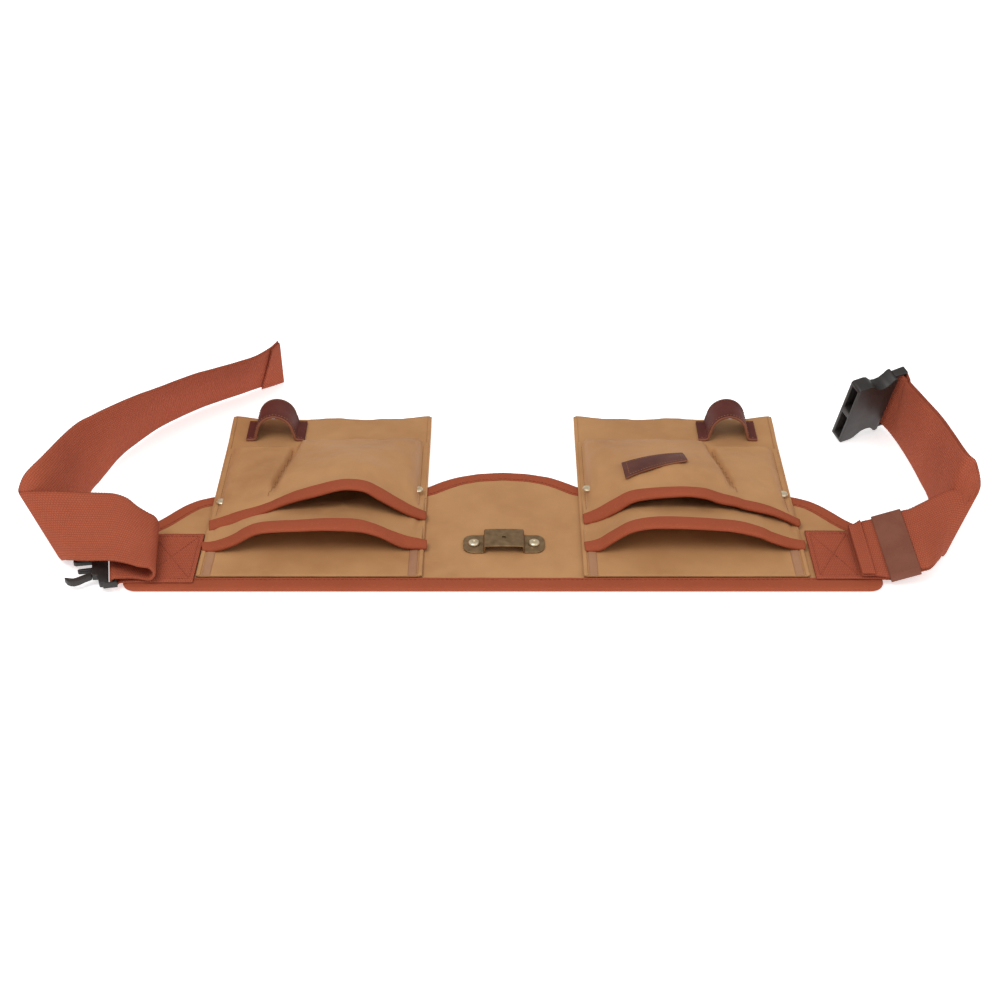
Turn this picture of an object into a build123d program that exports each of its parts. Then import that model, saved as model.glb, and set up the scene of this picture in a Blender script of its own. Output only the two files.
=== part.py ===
from build123d import *
import os
import math

# Canvas tool belt laid flat: origin at the middle of the waist edge, on the
# plane the belt rests on; +X to the wearer's side, +Y down the belt towards
# the pocket bottoms, +Z out of the face. All dimensions in millimetres.

# ---- driving dimensions ----------------------------------------------------
PANEL_HALF = 268.0        # half length of the waist edge
PANEL_T = 3.55            # canvas panel, full thickness
RIM_Z0, RIM_Z1 = 0.95, 2.65   # thinned rim that sits inside the binding
BIND_T = 3.60             # binding, over both leaves
BIND_W = 12.0             # binding, visible width
BIND_WALL = 0.85          # binding, one leaf
SPLIT_X = 40.0            # fold lines of the panel
SPLIT_GAP = 0.10

POUCH_IN = 58.0           # inner side of each pouch
POUCH_W = 158.0           # pouch width
POUCH_Y0 = 12.4           # waist seam
POUCH_Y1 = 228.0          # end of the flat back
BACK_Z0, BACK_T = 4.30, 1.10
TAPE_W = 7.0              # edge tape along the pouch sides
FOOT = 8.2                # pocket foot, in from the pouch side
CLOTH_T = 1.20            # pocket cloth
MAIN_LIP_Y = 41.0
OUTER_LIP_Y = 80.0
LIP_BIND_W = 9.0
LIP_BIND_T = 0.80

WEB_W = 60.0              # webbing width
WEB_T = 2.0               # webbing thickness
SEWN_X = 257.0            # end of the stitching on the right webbing
HINGE_X = 268.5           # line where the webbing leaves the panel end

CLIP_L, CLIP_W, CLIP_T, CLIP_H = 59.0, 22.0, 1.2, 6.4
CLIP_X, CLIP_Y = 0.8, 53.0
BRIDGE_W = 27.0
CLIP_RIVET = 21.8         # rivet pitch from the clip centre
RIVET_D = 8.4

LOOP_W, LOOP_H, LOOP_T, LOOP_L = 28.0, 23.0, 2.2, 46.0
LOOP_Y = 207.0

KEEPER_L, KEEPER_T = 21.5, 1.2

os.makedirs("parts", exist_ok=True)


def save(shape, name):
    shape.label = name
    export_step(shape, "parts/" + name + ".step")


# ---- small vector helpers --------------------------------------------------
def vadd(a, b, k=1.0):
    return (a[0] + k * b[0], a[1] + k * b[1], a[2] + k * b[2])


def vsub(a, b):
    return (a[0] - b[0], a[1] - b[1], a[2] - b[2])


def vcross(a, b):
    return (a[1] * b[2] - a[2] * b[1], a[2] * b[0] - a[0] * b[2], a[0] * b[1] - a[1] * b[0])


def vdot(a, b):
    return a[0] * b[0] + a[1] * b[1] + a[2] * b[2]


def vlen(a):
    return math.sqrt(vdot(a, a))


def vunit(a):
    n = vlen(a)
    return (a[0] / n, a[1] / n, a[2] / n)


def vlerp(a, b, t):
    return (a[0] + (b[0] - a[0]) * t, a[1] + (b[1] - a[1]) * t, a[2] + (b[2] - a[2]) * t)


def sheet_loft(sections):
    """Solid through a list of closed planar polygons with equal point counts."""
    wires = [Wire.make_polygon([Vector(*p) for p in s], close=True) for s in sections]
    body = Solid.make_loft(wires, ruled=True)
    if body.volume < 0:
        body = Solid(body.wrapped.Reversed())
    return body


def polygon_prism(points, z0, z1):
    """Straight prism over a plan polygon (list of (x, y))."""
    face = make_face(Polyline(*[(p[0], p[1], z0) for p in points], close=True))
    return Solid.extrude(face.face(), Vector(0, 0, z1 - z0))


# ---- panel outline ---------------------------------------------------------
def catmull(points, n):
    out = []
    m = len(points)
    for i in range(m - 1):
        p0 = points[max(i - 1, 0)]
        p1, p2 = points[i], points[i + 1]
        p3 = points[min(i + 2, m - 1)]
        for k in range(n):
            t = k / n
            out.append(tuple(
                0.5 * ((2 * b) + (-a + c) * t + (2 * a - 5 * b + 4 * c - d) * t * t
                       + (-a + 3 * b - 3 * c + d) * t ** 3)
                for a, b, c, d in zip(p0, p1, p2, p3)))
    out.append(tuple(points[-1]))
    return out


def panel_outline(inset):
    """Plan outline of the panel moved inwards by `inset`."""
    right = [(0.0, 0.0), (258.0, 0.0)]
    for k in range(1, 6):
        a = math.radians(-90 + 18 * k)
        right.append((258.0 + 10 * math.cos(a), 10 + 10 * math.sin(a)))
    right += [(268.0, 68.0), (264.5, 76.0), (255.0, 85.0), (240.0, 104.0), (231.0, 112.0), (218.0, 117.5)]
    right += [(140.0, 123.0), (66.0, 127.5)]
    right += catmull([(58.0, 130.0), (48.0, 137.5), (36.0, 144.5), (20.0, 149.5), (0.0, 151.5)], 3)
    pts = right + [(-x, y) for x, y in reversed(right[1:-1])]
    if inset <= 0:
        return pts
    n = len(pts)
    out = []
    for i in range(n):
        x0, y0 = pts[i - 1]
        x1, y1 = pts[i]
        x2, y2 = pts[(i + 1) % n]
        d1 = math.hypot(x1 - x0, y1 - y0)
        d2 = math.hypot(x2 - x1, y2 - y1)
        n1 = (-(y1 - y0) / d1, (x1 - x0) / d1)
        n2 = (-(y2 - y1) / d2, (x2 - x1) / d2)
        k = 1 + n1[0] * n2[0] + n1[1] * n2[1]
        out.append((x1 + inset * (n1[0] + n2[0]) / k, y1 + inset * (n1[1] + n2[1]) / k))
    return out


# corner arcs of the outer outline are tighter than the binding is wide, so the
# inner outlines use a square-cornered version of the same shape
def inner_outline(inset):
    x_end = PANEL_HALF - inset
    right = [(0.0, inset), (x_end, inset)]
    k = inset
    right += [(x_end, 68.0 - 0.33 * k), (264.5 - 0.93 * k, 76.0 - 0.53 * k), (255.0 - 0.86 * k, 85.0 - 0.6 * k),
              (240.0 - 0.72 * k, 104.0 - 0.72 * k), (231.0 - 0.5 * k, 112.0 - 0.88 * k), (218.0 - 0.25 * k, 117.5 - 1.0 * k)]
    right += [(140.0, 123.0 - k), (66.0 - 0.15 * k, 127.5 - k)]
    right += catmull([(58.0 - 0.45 * k, 130.0 - 0.93 * k), (48.0 - 0.5 * k, 137.5 - 0.87 * k),
                      (36.0 - 0.43 * k, 144.5 - 0.9 * k), (20.0 - 0.2 * k, 149.5 - 0.97 * k), (0.0, 151.5 - k)], 3)
    return right + [(-x, y) for x, y in reversed(right[1:-1])]


outer = polygon_prism(panel_outline(0), 0, BIND_T)
hollow = polygon_prism(inner_outline(BIND_W), -1, BIND_T + 1)
slot = polygon_prism(panel_outline(0.9), RIM_Z0 - 0.08, RIM_Z1 + 0.08)
binding = outer - hollow - slot
rim = polygon_prism(panel_outline(1.0), RIM_Z0, RIM_Z1)
core = polygon_prism(inner_outline(BIND_W + 0.1), 0, PANEL_T)
panel = core + rim


def band(x0, x1, y0, y1):
    return Pos((x0 + x1) / 2, (y0 + y1) / 2, 0) * Box(x1 - x0, y1 - y0, 40)


clip_holes = [Pos(CLIP_X + s * CLIP_RIVET, CLIP_Y, 0) * Cylinder(1.6, 40) for s in (-1, 1)]
zones = {
    "left": (-300, -SPLIT_X - SPLIT_GAP),
    "center": (-SPLIT_X + SPLIT_GAP, SPLIT_X - SPLIT_GAP),
    "right": (SPLIT_X + SPLIT_GAP, 300),
}
for side, (xa, xb) in zones.items():
    piece = panel & band(xa, xb, -20, 170)
    if side == "center":
        for h in clip_holes:
            piece = piece - h
    save(piece.solid(), "panel_" + side)
    # the folded tape runs along the waist edge and both ends, and a second
    # length runs round the lower edge; they meet at the lower end corners
    low = binding & band(xa, xb, -20, 69.9) if side != "center" else binding & band(xa, xb, -20, 40)
    high = binding & band(xa, xb, 70.1, 170) if side != "center" else binding & band(xa, xb, 60, 170)
    save(low.solid(), "waist_binding_" + side)
    save(high.solid(), "lower_binding_" + side)

# ---- tape clip -------------------------------------------------------------
z0 = PANEL_T + 0.1
half = CLIP_L / 2
bw = BRIDGE_W / 2
profile = [
    (-half, z0), (-bw - CLIP_T, z0), (-bw, z0), (-bw, z0 + CLIP_H - CLIP_T), (bw, z0 + CLIP_H - CLIP_T), (bw, z0),
    (bw + CLIP_T, z0), (half, z0), (half, z0 + CLIP_T), (bw + CLIP_T, z0 + CLIP_T), (bw + CLIP_T, z0 + CLIP_H),
    (-bw - CLIP_T, z0 + CLIP_H), (-bw - CLIP_T, z0 + CLIP_T), (-half, z0 + CLIP_T)]
profile = [profile[0]] + profile[2:]
profile = profile[:5] + profile[6:]
face = make_face(Polyline(*[(CLIP_X + x, CLIP_Y - CLIP_W / 2, z) for x, z in profile], close=True)).face()
clip = Solid.extrude(face, Vector(0, CLIP_W, 0))
for s in (-1, 1):
    clip = clip - Pos(CLIP_X + s * CLIP_RIVET, CLIP_Y, z0) * Cylinder(1.65, 10)
clip = clip - Pos(CLIP_X, CLIP_Y, z0 + CLIP_H) * Cylinder(1.5, 6)
ends = [e for e in clip.edges().filter_by(Axis.Z)
        if abs(abs(e.center().X - CLIP_X) - half) < 0.1]
clip = fillet(ends, 7.0)
save(clip.solid(), "tape_clip")

rivets = []
for s in (-1, 1):
    cap_z = z0 + CLIP_T + 0.06
    cap = Cylinder(RIVET_D / 2, 0.9, align=(Align.CENTER, Align.CENTER, Align.MIN))
    top = Pos(0, 0, 0.9) * Cone(RIVET_D / 2, RIVET_D / 2 - 1.6, 1.1, align=(Align.CENTER, Align.CENTER, Align.MIN))
    shank = Pos(0, 0, -4.0) * Cylinder(1.5, 4.4, align=(Align.CENTER, Align.CENTER, Align.MIN))
    rivets.append((Pos(CLIP_X + s * CLIP_RIVET, CLIP_Y, cap_z) * (cap + top + shank)).solid())
save(Compound(children=rivets), "clip_rivets")

# ---- pouches ---------------------------------------------------------------
BASE = BACK_Z0 + BACK_T + 0.08
U0, U1 = FOOT, POUCH_W - FOOT
# crown of each lip across the pouch: distance from the inner side, height
MAIN_CROWN = [(0, 0), (6, 9.0), (18, 18.5), (32, 26.0), (48, 29.2), (64, 29.5), (80, 29.0), (96, 28.8),
              (108, 28.5), (118, 25.0), (128, 17.5), (138, 10.0), (143.2, 0)]
OUTER_CROWN = [(0, 0), (6, 12.0), (18, 23.0), (32, 32.5), (44, 36.0), (56, 36.0), (68, 33.0), (84, 26.5),
               (101, 17.5), (110, 15.5), (122, 12.0), (135, 7.0), (143.2, 0)]


def crown(table, u):
    if u <= table[0][0] or u >= table[-1][0]:
        return 0.0
    for (a, ha), (b, hb) in zip(table, table[1:]):
        if a <= u <= b:
            return ha + (hb - ha) * (u - a) / (b - a)
    return 0.0


US = [0, 3, 6, 12, 18, 25, 32, 40, 48, 56, 68, 80, 92, 101, 106, 110, 116, 122, 128, 135, 139, 143.2]


def arch(u_lo, u_hi, thick, base, heights, y, grow=0.0):
    """Cross-section of a bulging cloth front: outer curve then inner curve.
    `grow` pushes the outer curve out and the inner curve in."""
    n = len(US) - 1
    span = US[-1]
    pts = [(u_lo - grow, base)]
    for j, u in enumerate(US):
        k = u / span
        pts.append((u_lo - grow + k * (u_hi - u_lo + 2 * grow), base + thick + grow + heights[j]))
    pts.append((u_hi + grow, base))
    lo, hi = u_lo + thick + grow, u_hi - thick - grow
    for j in range(n, -1, -1):
        k = US[j] / span
        z = max(base, base + heights[j] - grow) if 0 < j < n else base
        pts.append((lo + k * (hi - lo), z))
    return [(u, y, z) for u, z in pts]


MAIN_Y = [(MAIN_LIP_Y, 1.0), (MAIN_LIP_Y + LIP_BIND_W + 0.6, 1.0), (70.0, 0.74), (OUTER_LIP_Y - 1.6, 0.62),
          (OUTER_LIP_Y + LIP_BIND_W + 0.6, 0.58), (112.0, 0.46), (140.0, 0.32), (168.0, 0.22), (174.0, 0.03),
          (178.0, 0.0)]
OUTER_Y = [(OUTER_LIP_Y, 1.0, 0.0), (OUTER_LIP_Y + LIP_BIND_W + 0.6, 1.0, 0.0), (112.0, 0.74, 3.0),
           (140.0, 0.52, 5.5), (168.0, 0.30, 8.0), (179.0, 0.20, 8.5), (185.0, 0.03, 1.0), (190.0, 0.0, 0.0)]
BODY = [min(1.0, u / 14.0) * min(1.0, (US[-1] - u) / 14.0) for u in US]
MAIN_IN = 3.9      # the main pocket sits this far inside the outer pocket


def main_heights(k, y=0.0):
    rows = [k * crown(MAIN_CROWN, u) for u in US]
    if y < OUTER_LIP_Y - 2:
        return rows
    # under the outer pocket the main pocket stays clear of the cloth above it
    over = [outer_row(y)[j] - 3.1 for j in range(len(US))]
    return [max(0.0, min(a, b)) for a, b in zip(rows, over)]


def outer_heights(k, body):
    return [k * crown(OUTER_CROWN, u) + body * b for u, b in zip(US, BODY)]


def outer_row(y):
    y = max(y, OUTER_LIP_Y)
    for (ya, ka, ba), (yb, kb, bb) in zip(OUTER_Y, OUTER_Y[1:]):
        if ya <= y <= yb:
            t = (y - ya) / (yb - ya)
            return [a + (b - a) * t for a, b in zip(outer_heights(ka, ba), outer_heights(kb, bb))]
    return outer_heights(0.0, 0.0)


def outer_height_at(u, y):
    """Height of the outer pocket's face above the pocket base."""
    for (ya, ka, ba), (yb, kb, bb) in zip(OUTER_Y, OUTER_Y[1:]):
        if ya <= y <= yb:
            t = (y - ya) / (yb - ya)
            rows = [outer_heights(ka, ba), outer_heights(kb, bb)]
            uu = (u - U0) / (U1 - U0) * US[-1]
            hs = []
            for r in rows:
                for j in range(len(US) - 1):
                    if US[j] <= uu <= US[j + 1]:
                        s = (uu - US[j]) / (US[j + 1] - US[j])
                        hs.append(r[j] + (r[j + 1] - r[j]) * s)
                        break
            return hs[0] + (hs[1] - hs[0]) * t + CLOTH_T
    return 0.0


def mirror_x(sections, sign):
    return [[(sign * (POUCH_IN + u), y, z) for u, y, z in s] for s in sections]


def lip_binding(u_lo, u_hi, base, heights, y_lip, sign):
    """Folded tape along a pocket lip: two leaves joined round the cloth edge."""
    full = [arch(u_lo, u_hi, CLOTH_T, base, heights, y, LIP_BIND_T) for y in (y_lip - 0.9, y_lip + LIP_BIND_W - 0.9)]
    gap = [arch(u_lo, u_hi, CLOTH_T, base - 3, [h + 3 for h in heights], y, 0.07)
           for y in (y_lip - 0.07, y_lip + LIP_BIND_W + 1)]
    a = sheet_loft(mirror_x(full, sign))
    b = sheet_loft(mirror_x(gap, sign))
    out = a - b
    return out


RIVET_SPOTS = {"left": [(3.6, 112.0), (POUCH_W - 3.6, 99.0)], "right": [(3.6, 111.0), (POUCH_W - 3.6, 108.0)]}
loop_centre = {"left": 122.0, "right": 120.5}

for side, sign in (("left", -1), ("right", 1)):
    def px(u):
        return sign * (POUCH_IN + u)

    holes = [Pos(px(u), y, 5) * Cylinder(1.3, 20) for u, y in RIVET_SPOTS[side]]
    back = Pos(px(POUCH_W / 2), (POUCH_Y0 + POUCH_Y1) / 2, BACK_Z0 + BACK_T / 2) * Box(
        POUCH_W - 1.8, POUCH_Y1 - POUCH_Y0, BACK_T)
    for h in holes:
        back = back - h
    save(back.solid(), side + "_pouch_back")
    for which, ua, ub in (("inner", 0.0, TAPE_W), ("outer", POUCH_W - TAPE_W, POUCH_W)):
        tape = Pos(px((ua + ub) / 2), (POUCH_Y0 + POUCH_Y1) / 2, BACK_Z0 + BACK_T / 2) * Box(
            TAPE_W, POUCH_Y1 - POUCH_Y0, BACK_T + 1.16)
        cut = Pos(px(POUCH_W / 2), (POUCH_Y0 + POUCH_Y1) / 2, BACK_Z0 + BACK_T / 2) * Box(
            POUCH_W - 1.66, POUCH_Y1 - POUCH_Y0 + 2, BACK_T + 0.12)
        tape = tape - cut
        for h in holes:
            tape = tape - h
        save(tape.solid(), side + "_pouch_tape_" + which)

    main = sheet_loft(mirror_x([arch(U0 + MAIN_IN, U1 - MAIN_IN, CLOTH_T, BASE, main_heights(k, y), y)
                                for y, k in MAIN_Y], sign))
    save(main, side + "_main_pocket")
    front = sheet_loft(mirror_x([arch(U0, U1, CLOTH_T, BASE, outer_heights(k, b), y) for y, k, b in OUTER_Y], sign))
    save(front, side + "_outer_pocket")
    save(lip_binding(U0 + MAIN_IN, U1 - MAIN_IN, BASE, main_heights(1.0), MAIN_LIP_Y, sign).solid(),
         side + "_main_lip_binding")
    save(lip_binding(U0, U1, BASE, outer_heights(1.0, 0.0), OUTER_LIP_Y, sign).solid(), side + "_outer_lip_binding")

    caps = []
    for u, y in RIVET_SPOTS[side]:
        zt = BACK_Z0 + BACK_T + 0.63
        cap = Cylinder(3.1, 0.8, align=(Align.CENTER, Align.CENTER, Align.MIN))
        top = Pos(0, 0, 0.8) * Cone(3.1, 1.9, 0.8, align=(Align.CENTER, Align.CENTER, Align.MIN))
        pin = Pos(0, 0, -2.2) * Cylinder(1.2, 2.4, align=(Align.CENTER, Align.CENTER, Align.MIN))
        caps.append((Pos(px(u), y, zt) * (cap + top + pin)).solid())
    save(Compound(children=caps), side + "_pouch_rivets")

    # leather tool loop: an arched strip with flat feet sewn to the pouch back
    uc = loop_centre[side]
    prof = [(-LOOP_L / 2, 0), (-LOOP_L / 2 + 1, 0.0)]
    outer_curve = []
    for k in range(13):
        a = math.pi * k / 12
        outer_curve.append((-15.5 * math.cos(a), 2.4 + (LOOP_H - 2.4) * math.sin(a) ** 0.8))
    inner_curve = []
    for k in range(13):
        a = math.pi * k / 12
        inner_curve.append((-13.3 * math.cos(a), (LOOP_H - LOOP_T) * math.sin(a) ** 0.8))
    ring = [(-LOOP_L / 2, 0.0), (-LOOP_L / 2, LOOP_T)] + outer_curve + [(LOOP_L / 2, LOOP_T), (LOOP_L / 2, 0.0)]
    ring += list(reversed(inner_curve))
    zb = BACK_Z0 + BACK_T + 0.08
    f = make_face(Polyline(*[(px(uc + x), LOOP_Y - LOOP_W / 2, zb + z) for x, z in ring], close=True)).face()
    loop = Solid.extrude(f, Vector(0, LOOP_W, 0))
    save(loop, side + "_tool_loop")

# leather label on the right pouch, following the pocket face
LAB = [(90.0, 104.0), (136.5, 126.0)]      # near edge, end to end (x, y)
LAB_WID = (-0.42, 0.907)                   # direction across the label
LAB_W, LAB_T = 19.0, 1.3
secs = []
for k in range(9):
    t = k / 8
    cx, cy = LAB[0][0] + (LAB[1][0] - LAB[0][0]) * t, LAB[0][1] + (LAB[1][1] - LAB[0][1]) * t
    ex, ey = cx + LAB_WID[0] * LAB_W, cy + LAB_WID[1] * LAB_W
    hs = []
    for m in range(5):
        q = m / 4
        x, y = cx + (ex - cx) * q, cy + (ey - cy) * q
        hs.append((x, y, BASE + outer_height_at(x - POUCH_IN, y) + 0.7))
    secs.append(hs + [(x, y, z + LAB_T) for x, y, z in reversed(hs)])
save(sheet_loft(secs), "label_patch")


# ---- webbing ---------------------------------------------------------------
def ribbon(stations, thick=WEB_T, offset=0.0, fine=3, ends=(None, None)):
    """Flat webbing swept through stations (edge point, width vector).
    `offset` shifts the whole ply along its own normal."""
    pts = [tuple(b) + tuple(w) for b, w in stations]
    path = catmull(pts, fine)
    secs = []
    m = len(path)
    for i in range(m):
        b, w = path[i][:3], path[i][3:]
        mid = vadd(b, w, 0.5)
        lo = path[max(i - 1, 0)]
        hi = path[min(i + 1, m - 1)]
        t = vsub(vadd(hi[:3], hi[3:], 0.5), vadd(lo[:3], lo[3:], 0.5))
        nrm = vunit(vcross(t, w))
        if i == 0 and ends[0] is not None:
            nrm = vunit(ends[0])
        if i == m - 1 and ends[1] is not None:
            nrm = vunit(ends[1])
        w = vadd((0, 0, 0), vunit(w), WEB_W)
        b = vadd(mid, w, -0.5)
        o = vadd(b, nrm, offset - thick / 2)
        p = vadd(b, nrm, offset + thick / 2)
        secs.append([o, vadd(o, w), vadd(p, w), p])
    return sheet_loft(secs)


PLY_Z = 3.72 + WEB_T / 2
# sewn ends, flat on the panel
for side, sign, ya, x_in, x_out in (("left", -1, 5.0, 218.0, HINGE_X - 0.15), ("right", 1, 9.3, 221.0, SEWN_X)):
    patch = Pos(sign * (x_in + x_out) / 2, ya + WEB_W / 2, PLY_Z) * Box(x_out - x_in, WEB_W, WEB_T)
    save(patch.solid(), side + "_strap_patch")

# left webbing: runs off the panel, round the plug's bar, back over the panel
# end, rolls over and runs out to the bend
BAR = (-277.2, 32.0, 6.9)                 # middle of the plug's webbing bar
PLUG_D = vunit((-0.98, -0.19, 0.0))       # the way the plug points
PLUG_Q = vunit((PLUG_D[1], -PLUG_D[0], 0.0))     # along the bar, near side to far side
TURN_R = 2.95
q60 = vadd((0, 0, 0), PLUG_Q, WEB_W)
bar0 = vadd(BAR, PLUG_Q, -WEB_W / 2)
left_run = [((-HINGE_X - 0.2, 5.0, PLY_Z), (0, 60, 0)), ((-270.2, 4.2, PLY_Z - 0.5), (-4.0, 59.8, 0))]
for a in (-90, -55, -20, 20, 55, 90):
    r = math.radians(a)
    left_run.append((vadd(vadd(bar0, PLUG_D, TURN_R * math.cos(r)), (0, 0, 1), TURN_R * math.sin(r)), q60))
left_run += [((-264.5, 4.5, 9.0), (-11.0, 59.0, 0.5)), ((-256.5, 5.0, 8.2), (-10.0, 59.2, 1.0))]
NEAR_C, NEAR_R = (-250.0, 4.0, 14.6), 6.4
FAR_C, FAR_R = (-259.5, 61.5, 18.0), 9.4
for a in (-78, -50, -20, 10, 40, 66):
    r = math.radians(a)
    n = (NEAR_C[0] + NEAR_R * math.cos(r), NEAR_C[1] - (a + 78) * 0.02, NEAR_C[2] + NEAR_R * math.sin(r))
    f_ = (FAR_C[0] + FAR_R * math.cos(r), FAR_C[1] - (a + 78) * 0.01, FAR_C[2] + FAR_R * math.sin(r))
    left_run.append((n, vsub(f_, n)))
LEFT_FOLD = ((-316.5, 36.0, 2.6), (-33.2, 33.0, 37.5))
left_run += [((-253.5, 2.0, 21.0), (-9.3, 57.6, 9.0)), ((-262.0, 6.2, 20.2), (-8.4, 57.6, 13.5)),
             ((-271.7, 10.2, 19.2), (-8.4, 56.9, 17.0)), ((-282.8, 12.8, 18.0), (-8.6, 56.2, 19.3)),
             ((-293.9, 15.4, 16.0), (-14.8, 53.4, 23.0)), ((-303.5, 21.0, 12.5), (-26.0, 46.0, 28.6)),
             ((-311.5, 29.0, 6.8), (-32.0, 38.0, 34.5)), LEFT_FOLD]
left_fold_n = vunit(vadd(vunit(vcross((-5.0, 7.0, -4.5), LEFT_FOLD[1])), vunit(vcross((0, 20, -0.5), (-30, 22, 47)))))
save(ribbon(left_run, ends=((0, 0, -1), left_fold_n)), "left_webbing_run")

TAIL = [((-317.0, 52.0, 1.6), (-28.5, 20.0, 49.0)), ((-317.5, 68.0, 1.2), (-22.0, 9.0, 55.0)),
        ((-317.0, 84.0, 1.1), (-17.0, 2.0, 57.5)), ((-314.5, 124.0, 1.0), (-5.0, 0.0, 59.8)),
        ((-310.0, 143.0, 1.0), (3.0, -1.0, 59.9)), ((-301.0, 177.0, 1.1), (17.0, -5.0, 57.3)),
        ((-289.0, 202.0, 1.2), (21.0, -12.0, 54.9)), ((-277.0, 222.0, 1.3), (23.0, -16.0, 53.0)),
        ((-263.0, 238.0, 1.4), (22.0, -20.0, 52.0)), ((-249.0, 252.0, 1.4), (21.0, -24.0, 51.0)),
        ((-234.0, 264.0, 1.4), (20.0, -26.0, 50.3)), ((-219.0, 275.0, 1.4), (20.0, -26.0, 50.3)),
        ((-203.0, 287.0, 1.4), (19.0, -26.0, 50.6)), ((-186.0, 299.0, 1.4), (16.0, -28.0, 50.6))]
fold_b = vadd(LEFT_FOLD[0], (-0.1, 1.0, 0.0), 0.5)
fold_e = (vadd(fold_b, (0.0, 0.0, 0.0)), LEFT_FOLD[1])
save(ribbon([fold_e] + TAIL, fine=2, ends=(left_fold_n, None)), "left_tail")
# the tail's end is folded back on itself and sewn: a short second ply
tail_path = catmull([tuple(b) + tuple(w) for b, w in [fold_e] + TAIL], 2)[-3:]
save(ribbon([(q[:3], q[3:]) for q in tail_path], offset=WEB_T + 0.2, fine=1), "left_tail_hem")


# ---- plug (male half of the buckle) ----------------------------------------
def placed(origin, xdir, zdir):
    return Location(Plane(origin=Vector(*origin), x_dir=Vector(*xdir), z_dir=Vector(*zdir)))


plug_loc = placed(BAR, PLUG_D, (0, 0, 1))      # local x: to the tips, y: near side negative... z: up
P_W, P_T = 66.6, 5.0
bar = Rot(90, 0, 0) * Cylinder(1.5, P_W - 1)
rails = [Pos(3.1, s * (P_W / 2 - 0.9), 0) * Box(8.6, 1.8, P_T) for s in (-1, 1)]
cross = Pos(9.4, 0, 0) * Box(4.6, P_W, P_T)
neck = Pos(13.5, 0, 0) * Box(5.0, 44.0, P_T)
plug = bar + rails[0] + rails[1] + cross + neck
plug = plug + Pos(22.0, 0, 0) * Box(14.0, 7.0, 3.6)
for s in (-1, 1):
    plug = plug + Pos(20.5, s * 12.5, 0) * Box(11.0, 3.4, 3.6)
save((plug_loc * plug).solid(), "left_plug")
arm_pts = [(16.2, 17.0), (16.2, 21.4), (21.0, 23.6), (25.0, 26.2), (28.5, 27.0), (33.0, 24.6), (35.0, 20.6),
           (32.2, 21.0), (28.8, 22.2), (25.0, 20.8), (21.0, 19.0)]
for which, s in (("near", 1), ("far", -1)):
    f = make_face(Polyline(*[(x, s * y, -2.2) for x, y in arm_pts], close=True)).face()
    arm = Solid.extrude(f, Vector(0, 0, 4.4 if f.normal_at().Z != 0 else 4.4))
    save((plug_loc * arm).solid(), "left_plug_arm_" + which)

# ---- right webbing: two plies ----------------------------------------------
KD = vunit((0.9485, 0.0133, 0.3165))      # along the straight run
KW = vunit((-0.066, 0.985, 0.157))
KN = vunit(vcross(KD, KW))
KW = vunit(vcross(KN, KD))
KP = (270.7, 5.6, 9.3)                    # keeper's near corner, outer face
strap0 = vadd(KP, KW, KEEPER_T + 0.35)    # near edge of the webbing under it
PLY_GAP = 0.40
D_OUT = -(KEEPER_T + 0.35 + WEB_T / 2)
D_IN = D_OUT - WEB_T - PLY_GAP
w60 = vadd((0, 0, 0), KW, WEB_W)


def along(s, d):
    return vadd(vadd(strap0, KD, s), KN, d)


RIGHT_FOLD = ((315.5, 42.0, 4.2), (31.0, 42.0, 29.0))
mid_run = [((304.0, 14.0, 13.6), (1.5, 58.8, 12.4)), ((308.2, 23.0, 10.4), (9.0, 56.4, 18.2)),
           ((312.2, 32.8, 7.0), (19.0, 51.5, 24.0))]
dz = D_OUT - D_IN
right_fold_n = vunit(vadd(vunit(vcross((6.0, 9.0, -3.0), RIGHT_FOLD[1])), vunit(vcross((1.5, 20, 0), (25, 24, 49)))))


def centre_ply(st):
    return [(vadd(b, KN, 0), w) for b, w in st]


def shifted(st, d):
    """Same run moved along the local normal by d (kept parallel)."""
    out = []
    for i, (b, w) in enumerate(st):
        lo, hi = st[max(i - 1, 0)], st[min(i + 1, len(st) - 1)]
        t = vsub(vadd(hi[0], hi[1], 0.5), vadd(lo[0], lo[1], 0.5))
        out.append((vadd(b, vunit(vcross(t, w)), d), w))
    return out


STRAIGHT = [-0.4, 0.6, 2.5, 8.0, 15.0, 22.0, 26.0, 28.5]
inner_run = [((SEWN_X + 0.3, 9.3, PLY_Z), (0, 60, 0)), ((263.0, 9.1, PLY_Z + 0.15), (-1.5, 59.8, 4.2))] + [(along(s, D_IN), w60) for s in STRAIGHT]
inner_run += mid_run + [RIGHT_FOLD]
save(ribbon(inner_run, ends=((0, 0, 1), right_fold_n)), "right_webbing_inner")

tail_part = shifted([inner_run[-5]] + mid_run + [RIGHT_FOLD], dz + 0.8)[1:]
tail_part[-1] = (vadd(RIGHT_FOLD[0], right_fold_n, dz + 0.8), RIGHT_FOLD[1])
outer_run = [((252.8, 9.4, PLY_Z + WEB_T + 0.6), (-0.4, 60, 0.8)), ((258.2, 9.2, PLY_Z + WEB_T + 0.7), (-0.8, 60, 1.8)),
             ((263.2, 9.0, PLY_Z + WEB_T + 0.8), (-1.8, 59.8, 5.6))]
outer_run += [(along(s, D_OUT), w60) for s in STRAIGHT] + tail_part
save(ribbon(outer_run, ends=((0, 0, 1), right_fold_n)), "right_webbing_outer")
hem_path = catmull([tuple(b) + tuple(w) for b, w in outer_run], 3)[:5]
hem_r = [(q[:3], q[3:]) for q in hem_path]
save(ribbon(hem_r, offset=WEB_T + 0.2, fine=1, ends=((0, 0, 1), None)), "right_tail_hem")

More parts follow.
